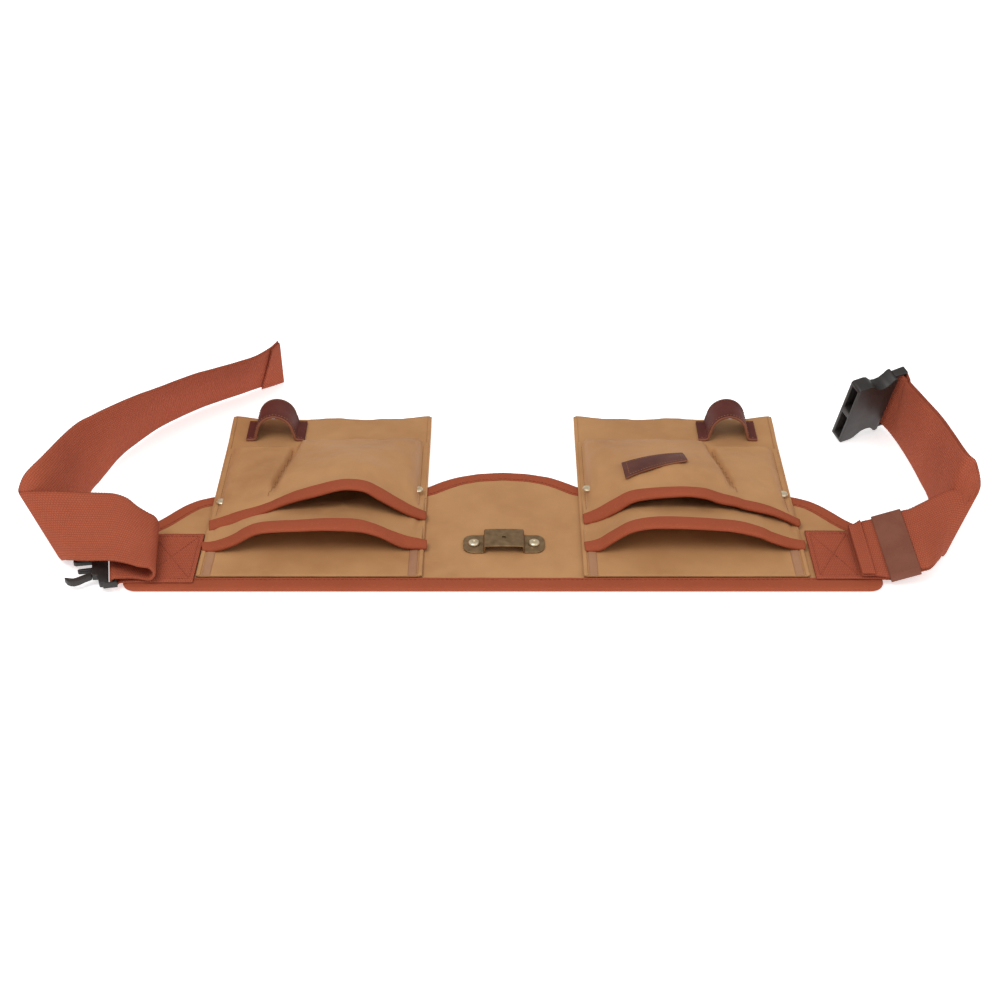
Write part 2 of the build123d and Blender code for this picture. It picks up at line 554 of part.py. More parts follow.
# keeper: a closed band round both plies
tube_lo, tube_hi = D_IN - WEB_T / 2 - 0.35, D_OUT + WEB_T / 2 + 0.35
depth = tube_hi - tube_lo
kc = vadd(vadd(vadd(strap0, KW, WEB_W / 2), KN, (tube_lo + tube_hi) / 2), KD, KEEPER_L / 2 + 0.9)
k_loc = placed(kc, KD, KN)
ring_o = Box(KEEPER_L, WEB_W + 0.7 + 2 * KEEPER_T, depth + 2 * KEEPER_T)
ring_i = Box(KEEPER_L + 4, WEB_W + 0.7, depth)
save((k_loc * (ring_o - ring_i)).solid(), "strap_keeper")

# upper run: inner ply to the receiver's bar, round it and back as the outer ply
UP = [((319.0, 66.0, 1.8), (25.0, 24.0, 49.0)), ((321.5, 88.0, 1.4), (14.0, 0.0, 58.3)),
      ((322.5, 121.0, 1.3), (7.0, 0.0, 59.6)), ((321.0, 140.0, 1.3), (5.0, 0.0, 59.8)),
      ((318.5, 168.0, 1.3), (0.0, 0.0, 60.0)), ((314.5, 196.0, 1.5), (-1.5, -6.5, 59.6)),
      ((309.9, 213.2, 2.8), (4.0, -17.0, 57.4))]
REC_W = vunit((6.0, -20.5, 56.0))
REC_D = vunit((-38.0, -19.0, -2.6))
REC_D = vunit(vsub(REC_D, vadd((0, 0, 0), REC_W, vdot(REC_D, REC_W))))
REC_N = vcross(REC_D, REC_W)
REC_BAR = (306.0, 224.5, 6.6)             # lower end of the receiver's bar
rw = vadd((0, 0, 0), REC_W, WEB_W)
start_t = vunit((-8.0, 26.0, 0.0))
start_t = vunit(vsub(start_t, vadd((0, 0, 0), REC_W, vdot(start_t, REC_W))))
start_n = vcross(start_t, REC_W)          # points outwards (+x)
LOOP_R = 3.0
fold_up = (vadd(RIGHT_FOLD[0], (0.1, 1.0, 0.0), 0.5), RIGHT_FOLD[1])
upper = [fold_up] + UP
for a in (-90, -45, 0, 45, 90):
    r = math.radians(a)
    p = vadd(vadd(REC_BAR, start_t, LOOP_R * math.cos(r)), start_n, LOOP_R * math.sin(r))
    upper.append((p, rw))
back_run = []
chain = [fold_up] + UP
for i, (b, w) in enumerate(chain):
    lo, hi = chain[max(i - 1, 0)], chain[min(i + 1, len(chain) - 1)]
    t = vsub(vadd(hi[0], hi[1], 0.5), vadd(lo[0], lo[1], 0.5))
    n = right_fold_n if i == 0 else vunit(vcross(t, w))
    back_run.append((vadd(b, n, dz + 0.8 + (0.9 if i == len(chain) - 1 else 0.0)), w))
upper_back = list(reversed(back_run))
save(ribbon(upper + upper_back, fine=2, ends=(right_fold_n, vadd((0, 0, 0), right_fold_n, -1))), "right_webbing_upper")

# ---- receiver (female half of the buckle) ----------------------------------
r_mid = vadd(REC_BAR, REC_W, WEB_W / 2)
r_loc = placed(r_mid, REC_D, REC_N)       # local x: to the mouth, y: down the width, z: thickness
R_W, R_T, R_L = 64.0, 12.5, 45.0
r_bar = Rot(90, 0, 0) * Cylinder(1.6, R_W)
arms = [Pos(4.0, s * (R_W / 2 - 0.2), 0) * Box(13.0, 1.8, 7.0) for s in (-1, 1)]
outline = [(8.5, -32.0), (12.0, -32.0), (18.0, -24.5), (26.0, -24.5), (31.0, -32.0), (45.0, -32.0),
           (45.0, 32.0), (31.0, 32.0), (26.0, 24.5), (18.0, 24.5), (12.0, 32.0), (8.5, 32.0)]
shell_f = make_face(Polyline(*[(x, y, -R_T / 2) for x, y in outline], close=True)).face()
shell = Solid.extrude(shell_f, Vector(0, 0, R_T))
cavity = Pos(32.0, 0, 0) * Box(30.0, 44.0, 7.4)
mouth = Pos(41.0, 0, 0) * Box(12.0, 58.0, 7.4)
receiver = shell - cavity - mouth + r_bar + arms[0] + arms[1]
save((r_loc * receiver).solid(), "receiver")
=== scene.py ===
import bpy, bmesh, math
import numpy as np
from mathutils import Vector, Matrix, noise


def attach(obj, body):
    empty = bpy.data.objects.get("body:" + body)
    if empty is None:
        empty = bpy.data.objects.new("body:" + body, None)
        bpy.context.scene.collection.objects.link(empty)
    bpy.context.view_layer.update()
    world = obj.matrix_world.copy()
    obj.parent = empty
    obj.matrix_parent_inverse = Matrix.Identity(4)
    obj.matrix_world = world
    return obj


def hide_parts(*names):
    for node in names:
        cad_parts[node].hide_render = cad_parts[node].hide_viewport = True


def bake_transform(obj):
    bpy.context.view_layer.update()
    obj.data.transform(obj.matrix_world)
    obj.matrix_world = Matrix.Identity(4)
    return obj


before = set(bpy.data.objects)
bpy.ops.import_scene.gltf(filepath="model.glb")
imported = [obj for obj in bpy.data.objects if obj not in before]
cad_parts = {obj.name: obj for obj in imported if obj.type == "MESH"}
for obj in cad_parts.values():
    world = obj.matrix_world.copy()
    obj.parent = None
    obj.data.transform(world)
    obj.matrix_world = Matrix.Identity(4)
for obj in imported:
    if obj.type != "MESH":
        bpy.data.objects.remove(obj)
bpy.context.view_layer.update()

# Tool belt, worked in millimetres in the CAD frame and stored in metres.
MM = 0.001
WEB_W, WEB_T = 60.0, 2.0
POUCH_IN, POUCH_W = 58.0, 158.0


# ---- vector helpers --------------------------------------------------------
def V(*a):
    return np.array(a, float)


def unit(v):
    v = np.asarray(v, float)
    return v / np.linalg.norm(v)


def catmull(points, n):
    pts = np.array(points, float)
    out = []
    m = len(pts)
    for i in range(m - 1):
        p0, p1, p2, p3 = pts[max(i - 1, 0)], pts[i], pts[i + 1], pts[min(i + 2, m - 1)]
        for k in range(n):
            t = k / n
            out.append(0.5 * ((2 * p1) + (-p0 + p2) * t + (2 * p0 - 5 * p1 + 4 * p2 - p3) * t * t
                              + (-p0 + 3 * p1 - 3 * p2 + p3) * t ** 3))
    out.append(pts[-1])
    return np.array(out)


def resample(path, step, cols=3):
    """Even spacing along a polyline whose first `cols` columns are the place."""
    d = np.r_[0, np.cumsum(np.linalg.norm(np.diff(path[:, :cols], axis=0), axis=1))]
    n = max(2, int(round(d[-1] / step)) + 1)
    s = np.linspace(0, d[-1], n)
    return np.array([np.interp(s, d, path[:, c]) for c in range(path.shape[1])]).T, s


def fbm(x, y, z=0.0, seed=0.0):
    return noise.fractal(Vector((x + seed, y - seed, z)), 1.0, 2.0, 3)


# ---- mesh helpers ----------------------------------------------------------
def mesh_obj(name, verts, faces, mat, uv=None, smooth=True):
    me = bpy.data.meshes.new(name)
    me.from_pydata([tuple(float(c) * MM for c in v) for v in verts], [], faces)
    if uv is not None:
        layer = me.uv_layers.new(name="UVMap")
        idx = np.zeros(len(me.loops), int)
        me.loops.foreach_get("vertex_index", idx)
        layer.data.foreach_set("uv", np.asarray(uv, np.float32)[idx].ravel())
    me.validate()
    me.materials.append(mat)
    if smooth:
        me.polygons.foreach_set("use_smooth", [True] * len(me.polygons))
    ob = bpy.data.objects.new(name, me)
    bpy.context.scene.collection.objects.link(ob)
    return ob


def orient(ob):
    """Outward normals all over a closed piece."""
    bm = bmesh.new()
    bm.from_mesh(ob.data)
    bmesh.ops.recalc_face_normals(bm, faces=bm.faces)
    bm.to_mesh(ob.data)
    bm.free()
    return ob


def grid_faces(nr, nc, close_c=False, base=0, flip=False):
    f = []
    cc = nc if close_c else nc - 1
    for i in range(nr - 1):
        for j in range(cc):
            j2 = (j + 1) % nc
            q = (base + i * nc + j, base + i * nc + j2, base + (i + 1) * nc + j2, base + (i + 1) * nc + j)
            f.append(q[::-1] if flip else q)
    return f


def swept(name, rings, mat, uv=None, caps=True):
    """Closed section swept along: rings[i] is a list of points, all equal counts."""
    rings = np.asarray(rings, float)
    n, m = rings.shape[:2]
    faces = grid_faces(n, m, close_c=True)
    if caps:
        faces.append(tuple(range(m))[::-1])
        faces.append(tuple((n - 1) * m + k for k in range(m)))
    uvs = None if uv is None else np.asarray(uv).reshape(-1, 2)
    return orient(mesh_obj(name, rings.reshape(-1, 3), faces, mat, uvs))


def join(name, obs):
    obs = [o for o in obs if o is not None]
    for o in bpy.context.selected_objects:
        o.select_set(False)
    for o in obs:
        o.select_set(True)
    bpy.context.view_layer.objects.active = obs[0]
    bpy.ops.object.join()
    ob = bpy.context.view_layer.objects.active
    ob.name = name
    ob.select_set(False)
    return ob


def apply_mods(ob):
    bpy.context.view_layer.objects.active = ob
    for o in bpy.context.selected_objects:
        o.select_set(False)
    ob.select_set(True)
    for m in list(ob.modifiers):
        bpy.ops.object.modifier_apply(modifier=m.name)
    ob.select_set(False)
    return ob


# ---- materials -------------------------------------------------------------
def lin(rgb):
    out = []
    for c in rgb:
        c = c / 255
        out.append(c / 12.92 if c <= 0.04045 else ((c + 0.055) / 1.055) ** 2.4)
    return (*out, 1.0)


class Mat:
    def __init__(self, name):
        self.m = bpy.data.materials.new(name)
        self.m.use_nodes = True
        self.t = self.m.node_tree
        self.b = self.t.nodes["Principled BSDF"]

    def n(self, kind, **kw):
        x = self.t.nodes.new(kind)
        for k, v in kw.items():
            if k in x.inputs:
                x.inputs[k].default_value = v
            else:
                setattr(x, k, v)
        return x

    def l(self, a, b):
        self.t.links.new(a, b)

    def math(self, op, a, b=None):
        x = self.t.nodes.new("ShaderNodeMath")
        x.operation = op
        for i, s in enumerate((a, b)):
            if s is None:
                continue
            if isinstance(s, (int, float)):
                x.inputs[i].default_value = s
            else:
                self.l(s, x.inputs[i])
        return x.outputs[0]

    def mix(self, fac, a, b, mode="MIX"):
        x = self.t.nodes.new("ShaderNodeMix")
        x.data_type = "RGBA"
        x.blend_type = mode
        for s, i in ((fac, 0), (a, 6), (b, 7)):
            if isinstance(s, (int, float, tuple)):
                x.inputs[i].default_value = s
            else:
                self.l(s, x.inputs[i])
        return x.outputs[2]

    def ramp(self, fac, lo, hi):
        x = self.t.nodes.new("ShaderNodeMapRange")
        x.inputs[1].default_value, x.inputs[2].default_value = lo, hi
        self.l(fac, x.inputs[0])
        return x.outputs[0]


def place(m, use_uv):
    c = m.n("ShaderNodeTexCoord")
    sep = m.n("ShaderNodeSeparateXYZ")
    m.l(c.outputs["UV" if use_uv else "Object"], sep.inputs[0])
    k = 1.0 if use_uv else 1000.0
    return c, m.math("MULTIPLY", sep.outputs[0], k), m.math("MULTIPLY", sep.outputs[1], k)


def noise_tex(m, coord, scale, detail=3.0):
    x = m.n("ShaderNodeTexNoise")
    x.inputs["Scale"].default_value = scale
    x.inputs["Detail"].default_value = detail
    m.l(coord, x.inputs["Vector"])
    return x.outputs["Fac"]


def canvas_mat(name="canvas_cloth", base=(188, 139, 91), dark=(170, 121, 76), rough=0.62):
    m = Mat(name)
    c, x, y = place(m, False)
    obj = c.outputs["Object"]
    big = m.ramp(noise_tex(m, obj, 14.0, 3.0), 0.35, 0.7)
    mid = m.ramp(noise_tex(m, obj, 70.0, 4.0), 0.3, 0.75)
    col = m.mix(big, lin(base), lin(dark))
    col = m.mix(m.math("MULTIPLY", mid, 0.35), col, lin(tuple(min(255, v + 14) for v in base)))
    wx = m.math("SINE", m.math("MULTIPLY", x, 2 * math.pi / 0.75))
    wy = m.math("SINE", m.math("MULTIPLY", y, 2 * math.pi / 0.75))
    weave = m.math("MULTIPLY", wx, wy)
    fine = m.math("MULTIPLY", m.math("ADD", weave, 1.0), 0.04)
    col = m.mix(fine, col, lin(tuple(v * 0.6 for v in base)))
    m.l(col, m.b.inputs["Base Color"])
    r = m.math("ADD", m.math("MULTIPLY", mid, 0.14), rough)
    m.l(r, m.b.inputs["Roughness"])
    m.b.inputs["Sheen Weight"].default_value = 0.02
    m.b.inputs["Specular IOR Level"].default_value = 0.3
    h = m.math("ADD", m.math("MULTIPLY", weave, 0.5), m.math("MULTIPLY", noise_tex(m, obj, 420.0, 3.0), 1.2))
    b = m.n("ShaderNodeBump", Strength=0.22, Distance=0.00012)
    m.l(h, b.inputs["Height"])
    m.l(b.outputs[0], m.b.inputs["Normal"])
    return m.m


def webbing_mat(name="webbing_weave", base=(178, 92, 66), dark=(150, 72, 52), px=2.0, py=1.7, bump=0.7):
    """Knurled webbing: rows of short raised floats, each row half a step over."""
    m = Mat(name)
    c, x, y = place(m, True)
    row = m.math("FLOOR", m.math("DIVIDE", x, px))
    half = m.math("MULTIPLY", m.math("MODULO", row, 2.0), py / 2)
    ys = m.math("ADD", y, half)
    a = m.math("ABSOLUTE", m.math("SINE", m.math("MULTIPLY", x, math.pi / px)))
    b_ = m.math("ABSOLUTE", m.math("SINE", m.math("MULTIPLY", ys, math.pi / py)))
    h = m.math("MULTIPLY", a, b_)
    obj = c.outputs["Object"]
    big = m.ramp(noise_tex(m, obj, 22.0, 3.0), 0.3, 0.75)
    col = m.mix(m.math("MULTIPLY", big, 0.45), lin(base), lin(dark))
    # painted shade: the colour darkens in the low gaps between the raised floats
    painted_gap_shade = m.math("SUBTRACT", 1.0, m.math("MINIMUM", m.math("MULTIPLY", h, 1.8), 1.0))
    col = m.mix(m.math("MULTIPLY", painted_gap_shade, 0.5), col, lin(tuple(v * 0.72 for v in dark)))
    fleck = m.ramp(noise_tex(m, obj, 900.0, 2.0), 0.6, 0.8)
    col = m.mix(m.math("MULTIPLY", fleck, 0.25), col, lin(tuple(min(255, v + 35) for v in base)))
    m.l(col, m.b.inputs["Base Color"])
    m.b.inputs["Roughness"].default_value = 0.8
    m.b.inputs["Sheen Weight"].default_value = 0.0
    m.b.inputs["Specular IOR Level"].default_value = 0.08
    b = m.n("ShaderNodeBump", Strength=bump, Distance=0.0004)
    m.l(m.math("ADD", h, m.math("MULTIPLY", noise_tex(m, obj, 700.0, 2.0), 0.3)), b.inputs["Height"])
    m.l(b.outputs[0], m.b.inputs["Normal"])
    return m.m


def leather_mat(name, base, dark, rough=0.62):
    m = Mat(name)
    c, x, y = place(m, False)
    obj = c.outputs["Object"]
    big = m.ramp(noise_tex(m, obj, 45.0, 4.0), 0.3, 0.7)
    m.b.inputs["Specular IOR Level"].default_value = 0.22
    v = m.n("ShaderNodeTexVoronoi", Scale=1400.0)
    m.l(obj, v.inputs["Vector"])
    col = m.mix(big, lin(base), lin(dark))
    col = m.mix(m.math("MULTIPLY", v.outputs["Distance"], 0.25), col, lin(tuple(q * 0.7 for q in dark)))
    m.l(col, m.b.inputs["Base Color"])
    m.l(m.math("ADD", m.math("MULTIPLY", big, 0.15), rough), m.b.inputs["Roughness"])
    b = m.n("ShaderNodeBump", Strength=0.3, Distance=0.00015)
    m.l(m.math("ADD", v.outputs["Distance"], noise_tex(m, obj, 300.0, 3.0)), b.inputs["Height"])
    m.l(b.outputs[0], m.b.inputs["Normal"])
    return m.m


def metal_mat(name, base, dark, rough=0.38):
    m = Mat(name)
    c, x, y = place(m, False)
    obj = c.outputs["Object"]
    worn = m.ramp(noise_tex(m, obj, 180.0, 5.0), 0.35, 0.7)
    col = m.mix(worn, lin(base), lin(dark))
    m.l(col, m.b.inputs["Base Color"])
    m.b.inputs["Metallic"].default_value = 0.85
    m.l(m.math("ADD", m.math("MULTIPLY", worn, 0.22), rough), m.b.inputs["Roughness"])
    b = m.n("ShaderNodeBump", Strength=0.15, Distance=0.0001)
    m.l(noise_tex(m, obj, 900.0, 3.0), b.inputs["Height"])
    m.l(b.outputs[0], m.b.inputs["Normal"])
    return m.m


def plastic_mat(name="buckle_acetal"):
    m = Mat(name)
    c, x, y = place(m, False)
    obj = c.outputs["Object"]
    mid = m.ramp(noise_tex(m, obj, 60.0, 3.0), 0.3, 0.7)
    m.l(m.mix(mid, lin((30, 26, 24)), lin((44, 38, 35))), m.b.inputs["Base Color"])
    m.l(m.math("ADD", m.math("MULTIPLY", mid, 0.12), 0.42), m.b.inputs["Roughness"])
    b = m.n("ShaderNodeBump", Strength=0.2, Distance=0.00008)
    m.l(noise_tex(m, obj, 2200.0, 2.0), b.inputs["Height"])
    m.l(b.outputs[0], m.b.inputs["Normal"])
    return m.m


M_CANVAS = canvas_mat()
M_TAPE = canvas_mat("edge_tape_cloth", (172, 126, 92), (152, 106, 78))
M_BIND = webbing_mat("binding_twill", (172, 88, 60), (152, 74, 50), 1.0, 0.9, 0.35)
M_WEB = webbing_mat()
M_LOOP = leather_mat("loop_leather_grain", (108, 52, 44), (88, 40, 34))
M_LABEL = leather_mat("label_leather_grain", (106, 64, 54), (88, 50, 43))
M_RAW = leather_mat("raw_leather_edge", (160, 104, 78), (134, 82, 62), 0.7)
M_KEEP = leather_mat("keeper_band", (134, 81, 62), (120, 70, 54), 0.6)
M_BRASS = metal_mat("aged_brass", (150, 122, 88), (122, 97, 68))
M_RIVET = metal_mat("pale_rivet", (232, 218, 190), (200, 182, 148), 0.3)
M_PLASTIC = plastic_mat()
M_THREAD = webbing_mat("thread_red", (172, 92, 68), (150, 76, 56), 0.5, 0.5, 0.3)
M_THREAD_TAN = webbing_mat("thread_tan", (170, 122, 86), (146, 100, 70), 0.5, 0.5, 0.3)


def stitches(name, pts, nrm, mat, pitch=3.0, length=2.1, r=0.32, lift=0.1):
    """Row of thread stitches along a polyline lying on a surface."""
    path, s = resample(np.asarray(pts, float), 0.5)
    nrm = unit(nrm)
    verts, faces = [], []
    a = 0.4
    while a + length < s[-1]:
        b = len(verts)
        for q in (0.0, 0.3, 0.7, 1.0):
            p = np.array([np.interp(a + q * length, s, path[:, c]) for c in range(3)])
            p2 = np.array([np.interp(a + q * length - 0.3, s, path[:, c]) for c in range(3)])
            t = p - p2
            t = unit(t) if np.linalg.norm(t) > 1e-9 else V(1, 0, 0)
            sd = unit(np.cross(t, nrm))
            rr = r * (0.45 if q in (0.0, 1.0) else 1.0)
            c = p + nrm * (lift + (0.1 if 0 < q < 1 else 0.0))
            verts += [c + sd * rr * math.cos(g) + nrm * rr * math.sin(g) for g in np.linspace(0, 2 * math.pi, 7)[:-1]]
        faces += grid_faces(4, 6, close_c=True, base=b)
        faces += [tuple(b + k for k in range(6))[::-1], tuple(b + 18 + k for k in range(6))]
        a += pitch
    return orient(mesh_obj(name, verts, faces, mat, [(v[0], v[1]) for v in verts]))


# ---- panel and its edging --------------------------------------------------
def outline(n):
    """Waist edge, corner, end, lower edge of the right half, moved in by n.
    Same point count at every n, so rows join up."""
    r = max(10.0 - n, 0.3)
    pts = [(x, n) for x in np.linspace(0, 268 - n - r, 90)]
    pts += [(268 - n - r + r * math.cos(a), n + r + r * math.sin(a)) for a in np.linspace(-math.pi / 2, 0, 14)[1:]]
    k = n
    key = [(268 - k, n + r), (268 - k, 68 - .33 * k), (264.5 - .93 * k, 76 - .53 * k), (255 - .86 * k, 85 - .6 * k),
           (240 - .72 * k, 104 - .72 * k), (231 - .5 * k, 112 - .88 * k), (218 - .25 * k, 117.5 - k), (140, 123 - k),
           (66 - .15 * k, 127.5 - k), (58 - .45 * k, 130 - .93 * k), (48 - .5 * k, 137.5 - .87 * k),
           (36 - .43 * k, 144.5 - .9 * k), (20 - .2 * k, 149.5 - .97 * k), (0, 151.5 - k)]
    cnt = [22, 4, 5, 9, 5, 6, 30, 28, 4, 6, 6, 7, 8]
    for (a, b), c in zip(zip(key, key[1:]), cnt):
        for t in np.linspace(0, 1, c + 1)[1:]:
            pts.append((a[0] + (b[0] - a[0]) * t, a[1] + (b[1] - a[1]) * t))
    p = np.array(pts)
    for _ in range(3):
        q = p.copy()
        q[104:-1] = (p[103:-2] + 2 * p[104:-1] + p[105:]) / 4
        p = q
    return p


TAPE_SEC = [(12.0, 0.05), (8.0, 0.0), (3.0, 0.0), (1.0, 0.15), (0.25, 0.8), (0.0, 1.8), (0.2, 2.8), (0.9, 3.5),
            (2.2, 3.95), (4.5, 4.15), (7.5, 4.15), (9.6, 4.0), (10.2, 3.82), (10.9, 4.0), (11.8, 4.05), (12.15, 3.9),
            (12.2, 3.5), (11.6, 3.3), (6.0, 3.05), (2.2, 2.8), (1.3, 1.8), (2.2, 0.9), (6.0, 0.8), (12.0, 0.75)]


def binding_piece(name, sign, i0, i1):
    curves = {n: outline(n) for n, _ in TAPE_SEC}
    base = outline(0)
    d = np.r_[0, np.cumsum(np.linalg.norm(np.diff(base, axis=0), axis=1))]
    rings, uv = [], []
    for i in range(i0, i1):
        ring, row, w = [], [], 0.0
        for j, (n, z) in enumerate(TAPE_SEC):
            x, y = curves[n][i]
            lift = 0.22 * fbm(sign * x / 16.0, y / 16.0, 0, 3.0) if z > 2.5 else 0
            if j:
                w += math.hypot(n - TAPE_SEC[j - 1][0], z - TAPE_SEC[j - 1][1])
            ring.append((sign * x, y, z + lift))
            row.append((w, d[i]))
        rings.append(ring)
        uv.append(row)
    return swept(name, rings, M_BIND, uv, caps=False)


N_OUT = len(outline(0))
SPLIT_I = int(np.argmin(np.abs(outline(0)[:, 1] - 70) + np.abs(outline(0)[:, 0] - 268)))
for side, sign in (("left", -1), ("right", 1)):
    wb = binding_piece("waist_tape_" + side, sign, 0, SPLIT_I + 1)
    lb = binding_piece("lower_tape_" + side, sign, SPLIT_I, N_OUT)
    # canvas sheet: columns from the waist to the lower edge
    o = outline(5.0)
    wa, lo = o[:103], o[103:]
    xs = np.linspace(0, 262.6, 176)
    order = np.argsort(lo[:, 0])
    ylo = np.interp(xs, wa[:, 0], wa[:, 1])
    yhi = np.interp(xs, lo[order][:, 0], lo[order][:, 1])
    rows = np.linspace(0, 1, 60)
    verts, uv = [], []
    for layer, zz in ((0, 3.55), (1, 0.35)):
        for x, a, b in zip(xs, ylo, yhi):
            for t in rows:
                y = a + (b - a) * t
                inside = min(1.0, max(0.0, (min(y - a, b - y, 262.6 - x) - 5) / 18))
                dz = 0.45 * fbm(sign * x / 42, y / 42, 0, 9.0) + 0.12 * fbm(sign * x / 11, y / 11, 0, 2.0)
                dz = dz * inside * 0.8 if layer == 0 else 0.0
                if x > 214:
                    dz *= 0.2
                verts.append((sign * x, y, zz + dz))
                uv.append((x, y))
    nc, nr = len(rows), len(xs)
    faces = grid_faces(nr, nc, flip=(sign < 0)) + grid_faces(nr, nc, base=nr * nc, flip=(sign > 0))
    panel = mesh_obj("panel_sheet_" + side, verts, faces, M_CANVAS, uv)
    e = outline(10.2)
    rows_ = [np.c_[sign * e[a:b, 0], e[a:b, 1], np.full(b - a, 4.02)] for a, b in ((1, 101), (106, N_OUT))]
    sb = join("edging_stitches_" + side, [stitches("eb%s%d" % (side, k), q, (0, 0, 1), M_THREAD, 3.2, 2.2, 0.26, 0.0)
                                          for k, q in enumerate(rows_)])
    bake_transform(sb)
    for ob, node in ((panel, "panel_"), (wb, "waist_binding_"), (lb, "lower_binding_")):
        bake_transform(ob)
        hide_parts(node + side, node + "center")


# ---- webbing ---------------------------------------------------------------
def ribbon(name, stations, step=1.0, thick=WEB_T, offset=0.0, across=22, fine=10, cut=None):
    pts = np.array([tuple(b) + tuple(w) for b, w in stations], float)
    full = catmull(pts, fine)
    i0, i1 = cut if cut else (0, len(pts) - 1)
    d_full = np.r_[0, np.cumsum(np.linalg.norm(np.diff(full[:, :3] + full[:, 3:] / 2, axis=0), axis=1))]
    n_s = max(3, int(round((d_full[i1 * fine] - d_full[i0 * fine]) / step)) + 1)
    s = np.linspace(d_full[i0 * fine], d_full[i1 * fine], n_s)
    path = np.array([np.interp(s, d_full, full[:, c_]) for c_ in range(6)]).T
    mid = path[:, :3] + path[:, 3:] / 2
    t = np.gradient(mid, axis=0)
    for k_ in (0, -1):
        at = s[k_]
        t[k_] = np.array([np.interp(at + 0.5, d_full, full[:, c_] + full[:, c_ + 3] / 2)
                          - np.interp(at - 0.5, d_full, full[:, c_] + full[:, c_ + 3] / 2) for c_ in range(3)])
    w = path[:, 3:] / np.linalg.norm(path[:, 3:], axis=1)[:, None]
    nrm = np.cross(t, w)
    nrm /= np.linalg.norm(nrm, axis=1)[:, None]
    for _ in range(3):
        q = nrm.copy()
        q[1:-1] = (nrm[:-2] + 2 * nrm[1:-1] + nrm[2:]) / 4
        nrm = q / np.linalg.norm(q, axis=1)[:, None]
    h = thick / 2
    us = np.linspace(-1, 1, across + 1)
    rings, uv = [], []
    for i in range(len(path)):
        half = WEB_W / 2 + 0.22 * math.sin(2 * math.pi * s[i] / 1.9) - 0.15
        wob = 0.12 * fbm(s[i] / 14.0, 3.1, 0, 5.0)
        sec, row = [], []
        for sg, seq in ((1, us), (-1, us[::-1])):
            for u in seq:
                sec.append((u * half, sg * h * min(1.0, 0.45 + (1 - abs(u)) * 14) + wob))
                row.append((u * 30 + 30, s[i]))
        rings.append([mid[i] + w[i] * a + nrm[i] * (b + offset) for a, b in sec])
        uv.append(row)
    return swept(name, rings, M_WEB, uv, caps=cut is None)


def finish_piece(ob, body, slot_name, *nodes):
    if isinstance(body, str):
        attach(ob, body)
    else:
        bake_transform(ob)
    if nodes:
        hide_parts(*nodes)
    return ob


PLY_Z = 4.72
BAR = V(-277.2, 32.0, 6.9)
PLUG_D = unit((-0.98, -0.19, 0.0))
PLUG_Q = unit((PLUG_D[1], -PLUG_D[0], 0.0))
bar0 = BAR - PLUG_Q * 30
lead = [((x, 5.0, PLY_Z), (0, 60, 0)) for x in (-218.0, -235.0, -252.0, -264.0, -268.7)] + [((-270.2, 4.2, 4.22), (-4, 59.8, 0))]
loop = []
for a in (-90, -55, -20, 20, 55, 90):
    r = math.radians(a)
    loop.append((bar0 + PLUG_D * 2.95 * math.cos(r) + V(0, 0, 1) * 2.95 * math.sin(r), PLUG_Q * 60))
run = [((-264.5, 4.5, 9.0), (-11, 59, .5)), ((-256.5, 5, 8.2), (-10, 59.2, 1.0))]
for a in (-78, -50, -20, 10, 40, 66):
    r = math.radians(a)
    n = V(-250 + 6.4 * math.cos(r), 4 - (a + 78) * 0.02, 14.6 + 6.4 * math.sin(r))
    f = V(-259.5 + 9.4 * math.cos(r), 61.5 - (a + 78) * 0.01, 18 + 9.4 * math.sin(r))
    run.append((n, f - n))
band = [((-253.5, 2, 21), (-9.3, 57.6, 11.5)), ((-262, 6.2, 20.2), (-8.4, 57.0, 17.5)), ((-271.7, 10.2, 19.2), (-8.4, 56.4, 20.3)),
        ((-282.8, 12.8, 18), (-8.6, 56.0, 20.6)), ((-293.9, 15.4, 16), (-14.8, 53.4, 23)), ((-303.5, 21, 12.5), (-26, 46, 28.6)),
        ((-311.5, 29, 6.8), (-32, 38, 34.5)), ((-316.5, 36, 2.6), (-33.2, 33, 37.5))]
TAIL = [((-317, 52, 1.6), (-28.5, 20, 49)), ((-317.5, 68, 1.2), (-22, 9, 55)), ((-317, 84, 1.1), (-17, 2, 57.5)),
        ((-314.5, 124, 1), (-5, 0, 59.8)), ((-310, 143, 1), (3, -1, 59.9)), ((-301, 177, 1.1), (17, -5, 57.3)),
        ((-289, 202, 1.2), (21, -12, 54.9)), ((-277, 222, 1.3), (23, -16, 53)), ((-263, 238, 1.4), (22, -20, 52)),
        ((-249, 252, 1.4), (21, -24, 51)), ((-234, 264, 1.4), (20, -26, 50.3)), ((-219, 275, 1.4), (20, -26, 50.3)),
        ((-203, 287, 1.4), (15, -26, 51.5)), ((-186, 298.5, 1.4), (3, -28, 52.5))]

left_all = lead + loop + run + band + TAIL
finish_piece(ribbon("left_sewn_webbing", left_all, cut=(0, 5)), ("left_wing", "left_strap", (-264, 35, 4), (-272, 35, 4)), "webbing",
             "left_strap_patch")
finish_piece(ribbon("left_webbing_band", left_all, cut=(5, 24)), "left_strap", "webbing", "left_webbing_run")
fold_l = V(-316.5, 36, 2.6) + V(-33.2, 33, 37.5) / 2
ax_l = unit((-33.2, 33, 37.5))
d_l = V(0.0, 1.0, -0.1)
d_l = unit(d_l - ax_l * (d_l @ ax_l))
finish_piece(ribbon("left_tail_webbing", left_all, cut=(24, 41)), ("left_strap", "left_strap_end", fold_l + d_l * 15, fold_l + d_l * 30),
             "webbing", "left_tail")
finish_piece(ribbon("left_tail_fold", TAIL[-2:], offset=WEB_T + 0.15), "left_strap_end", "webbing", "left_tail_hem")

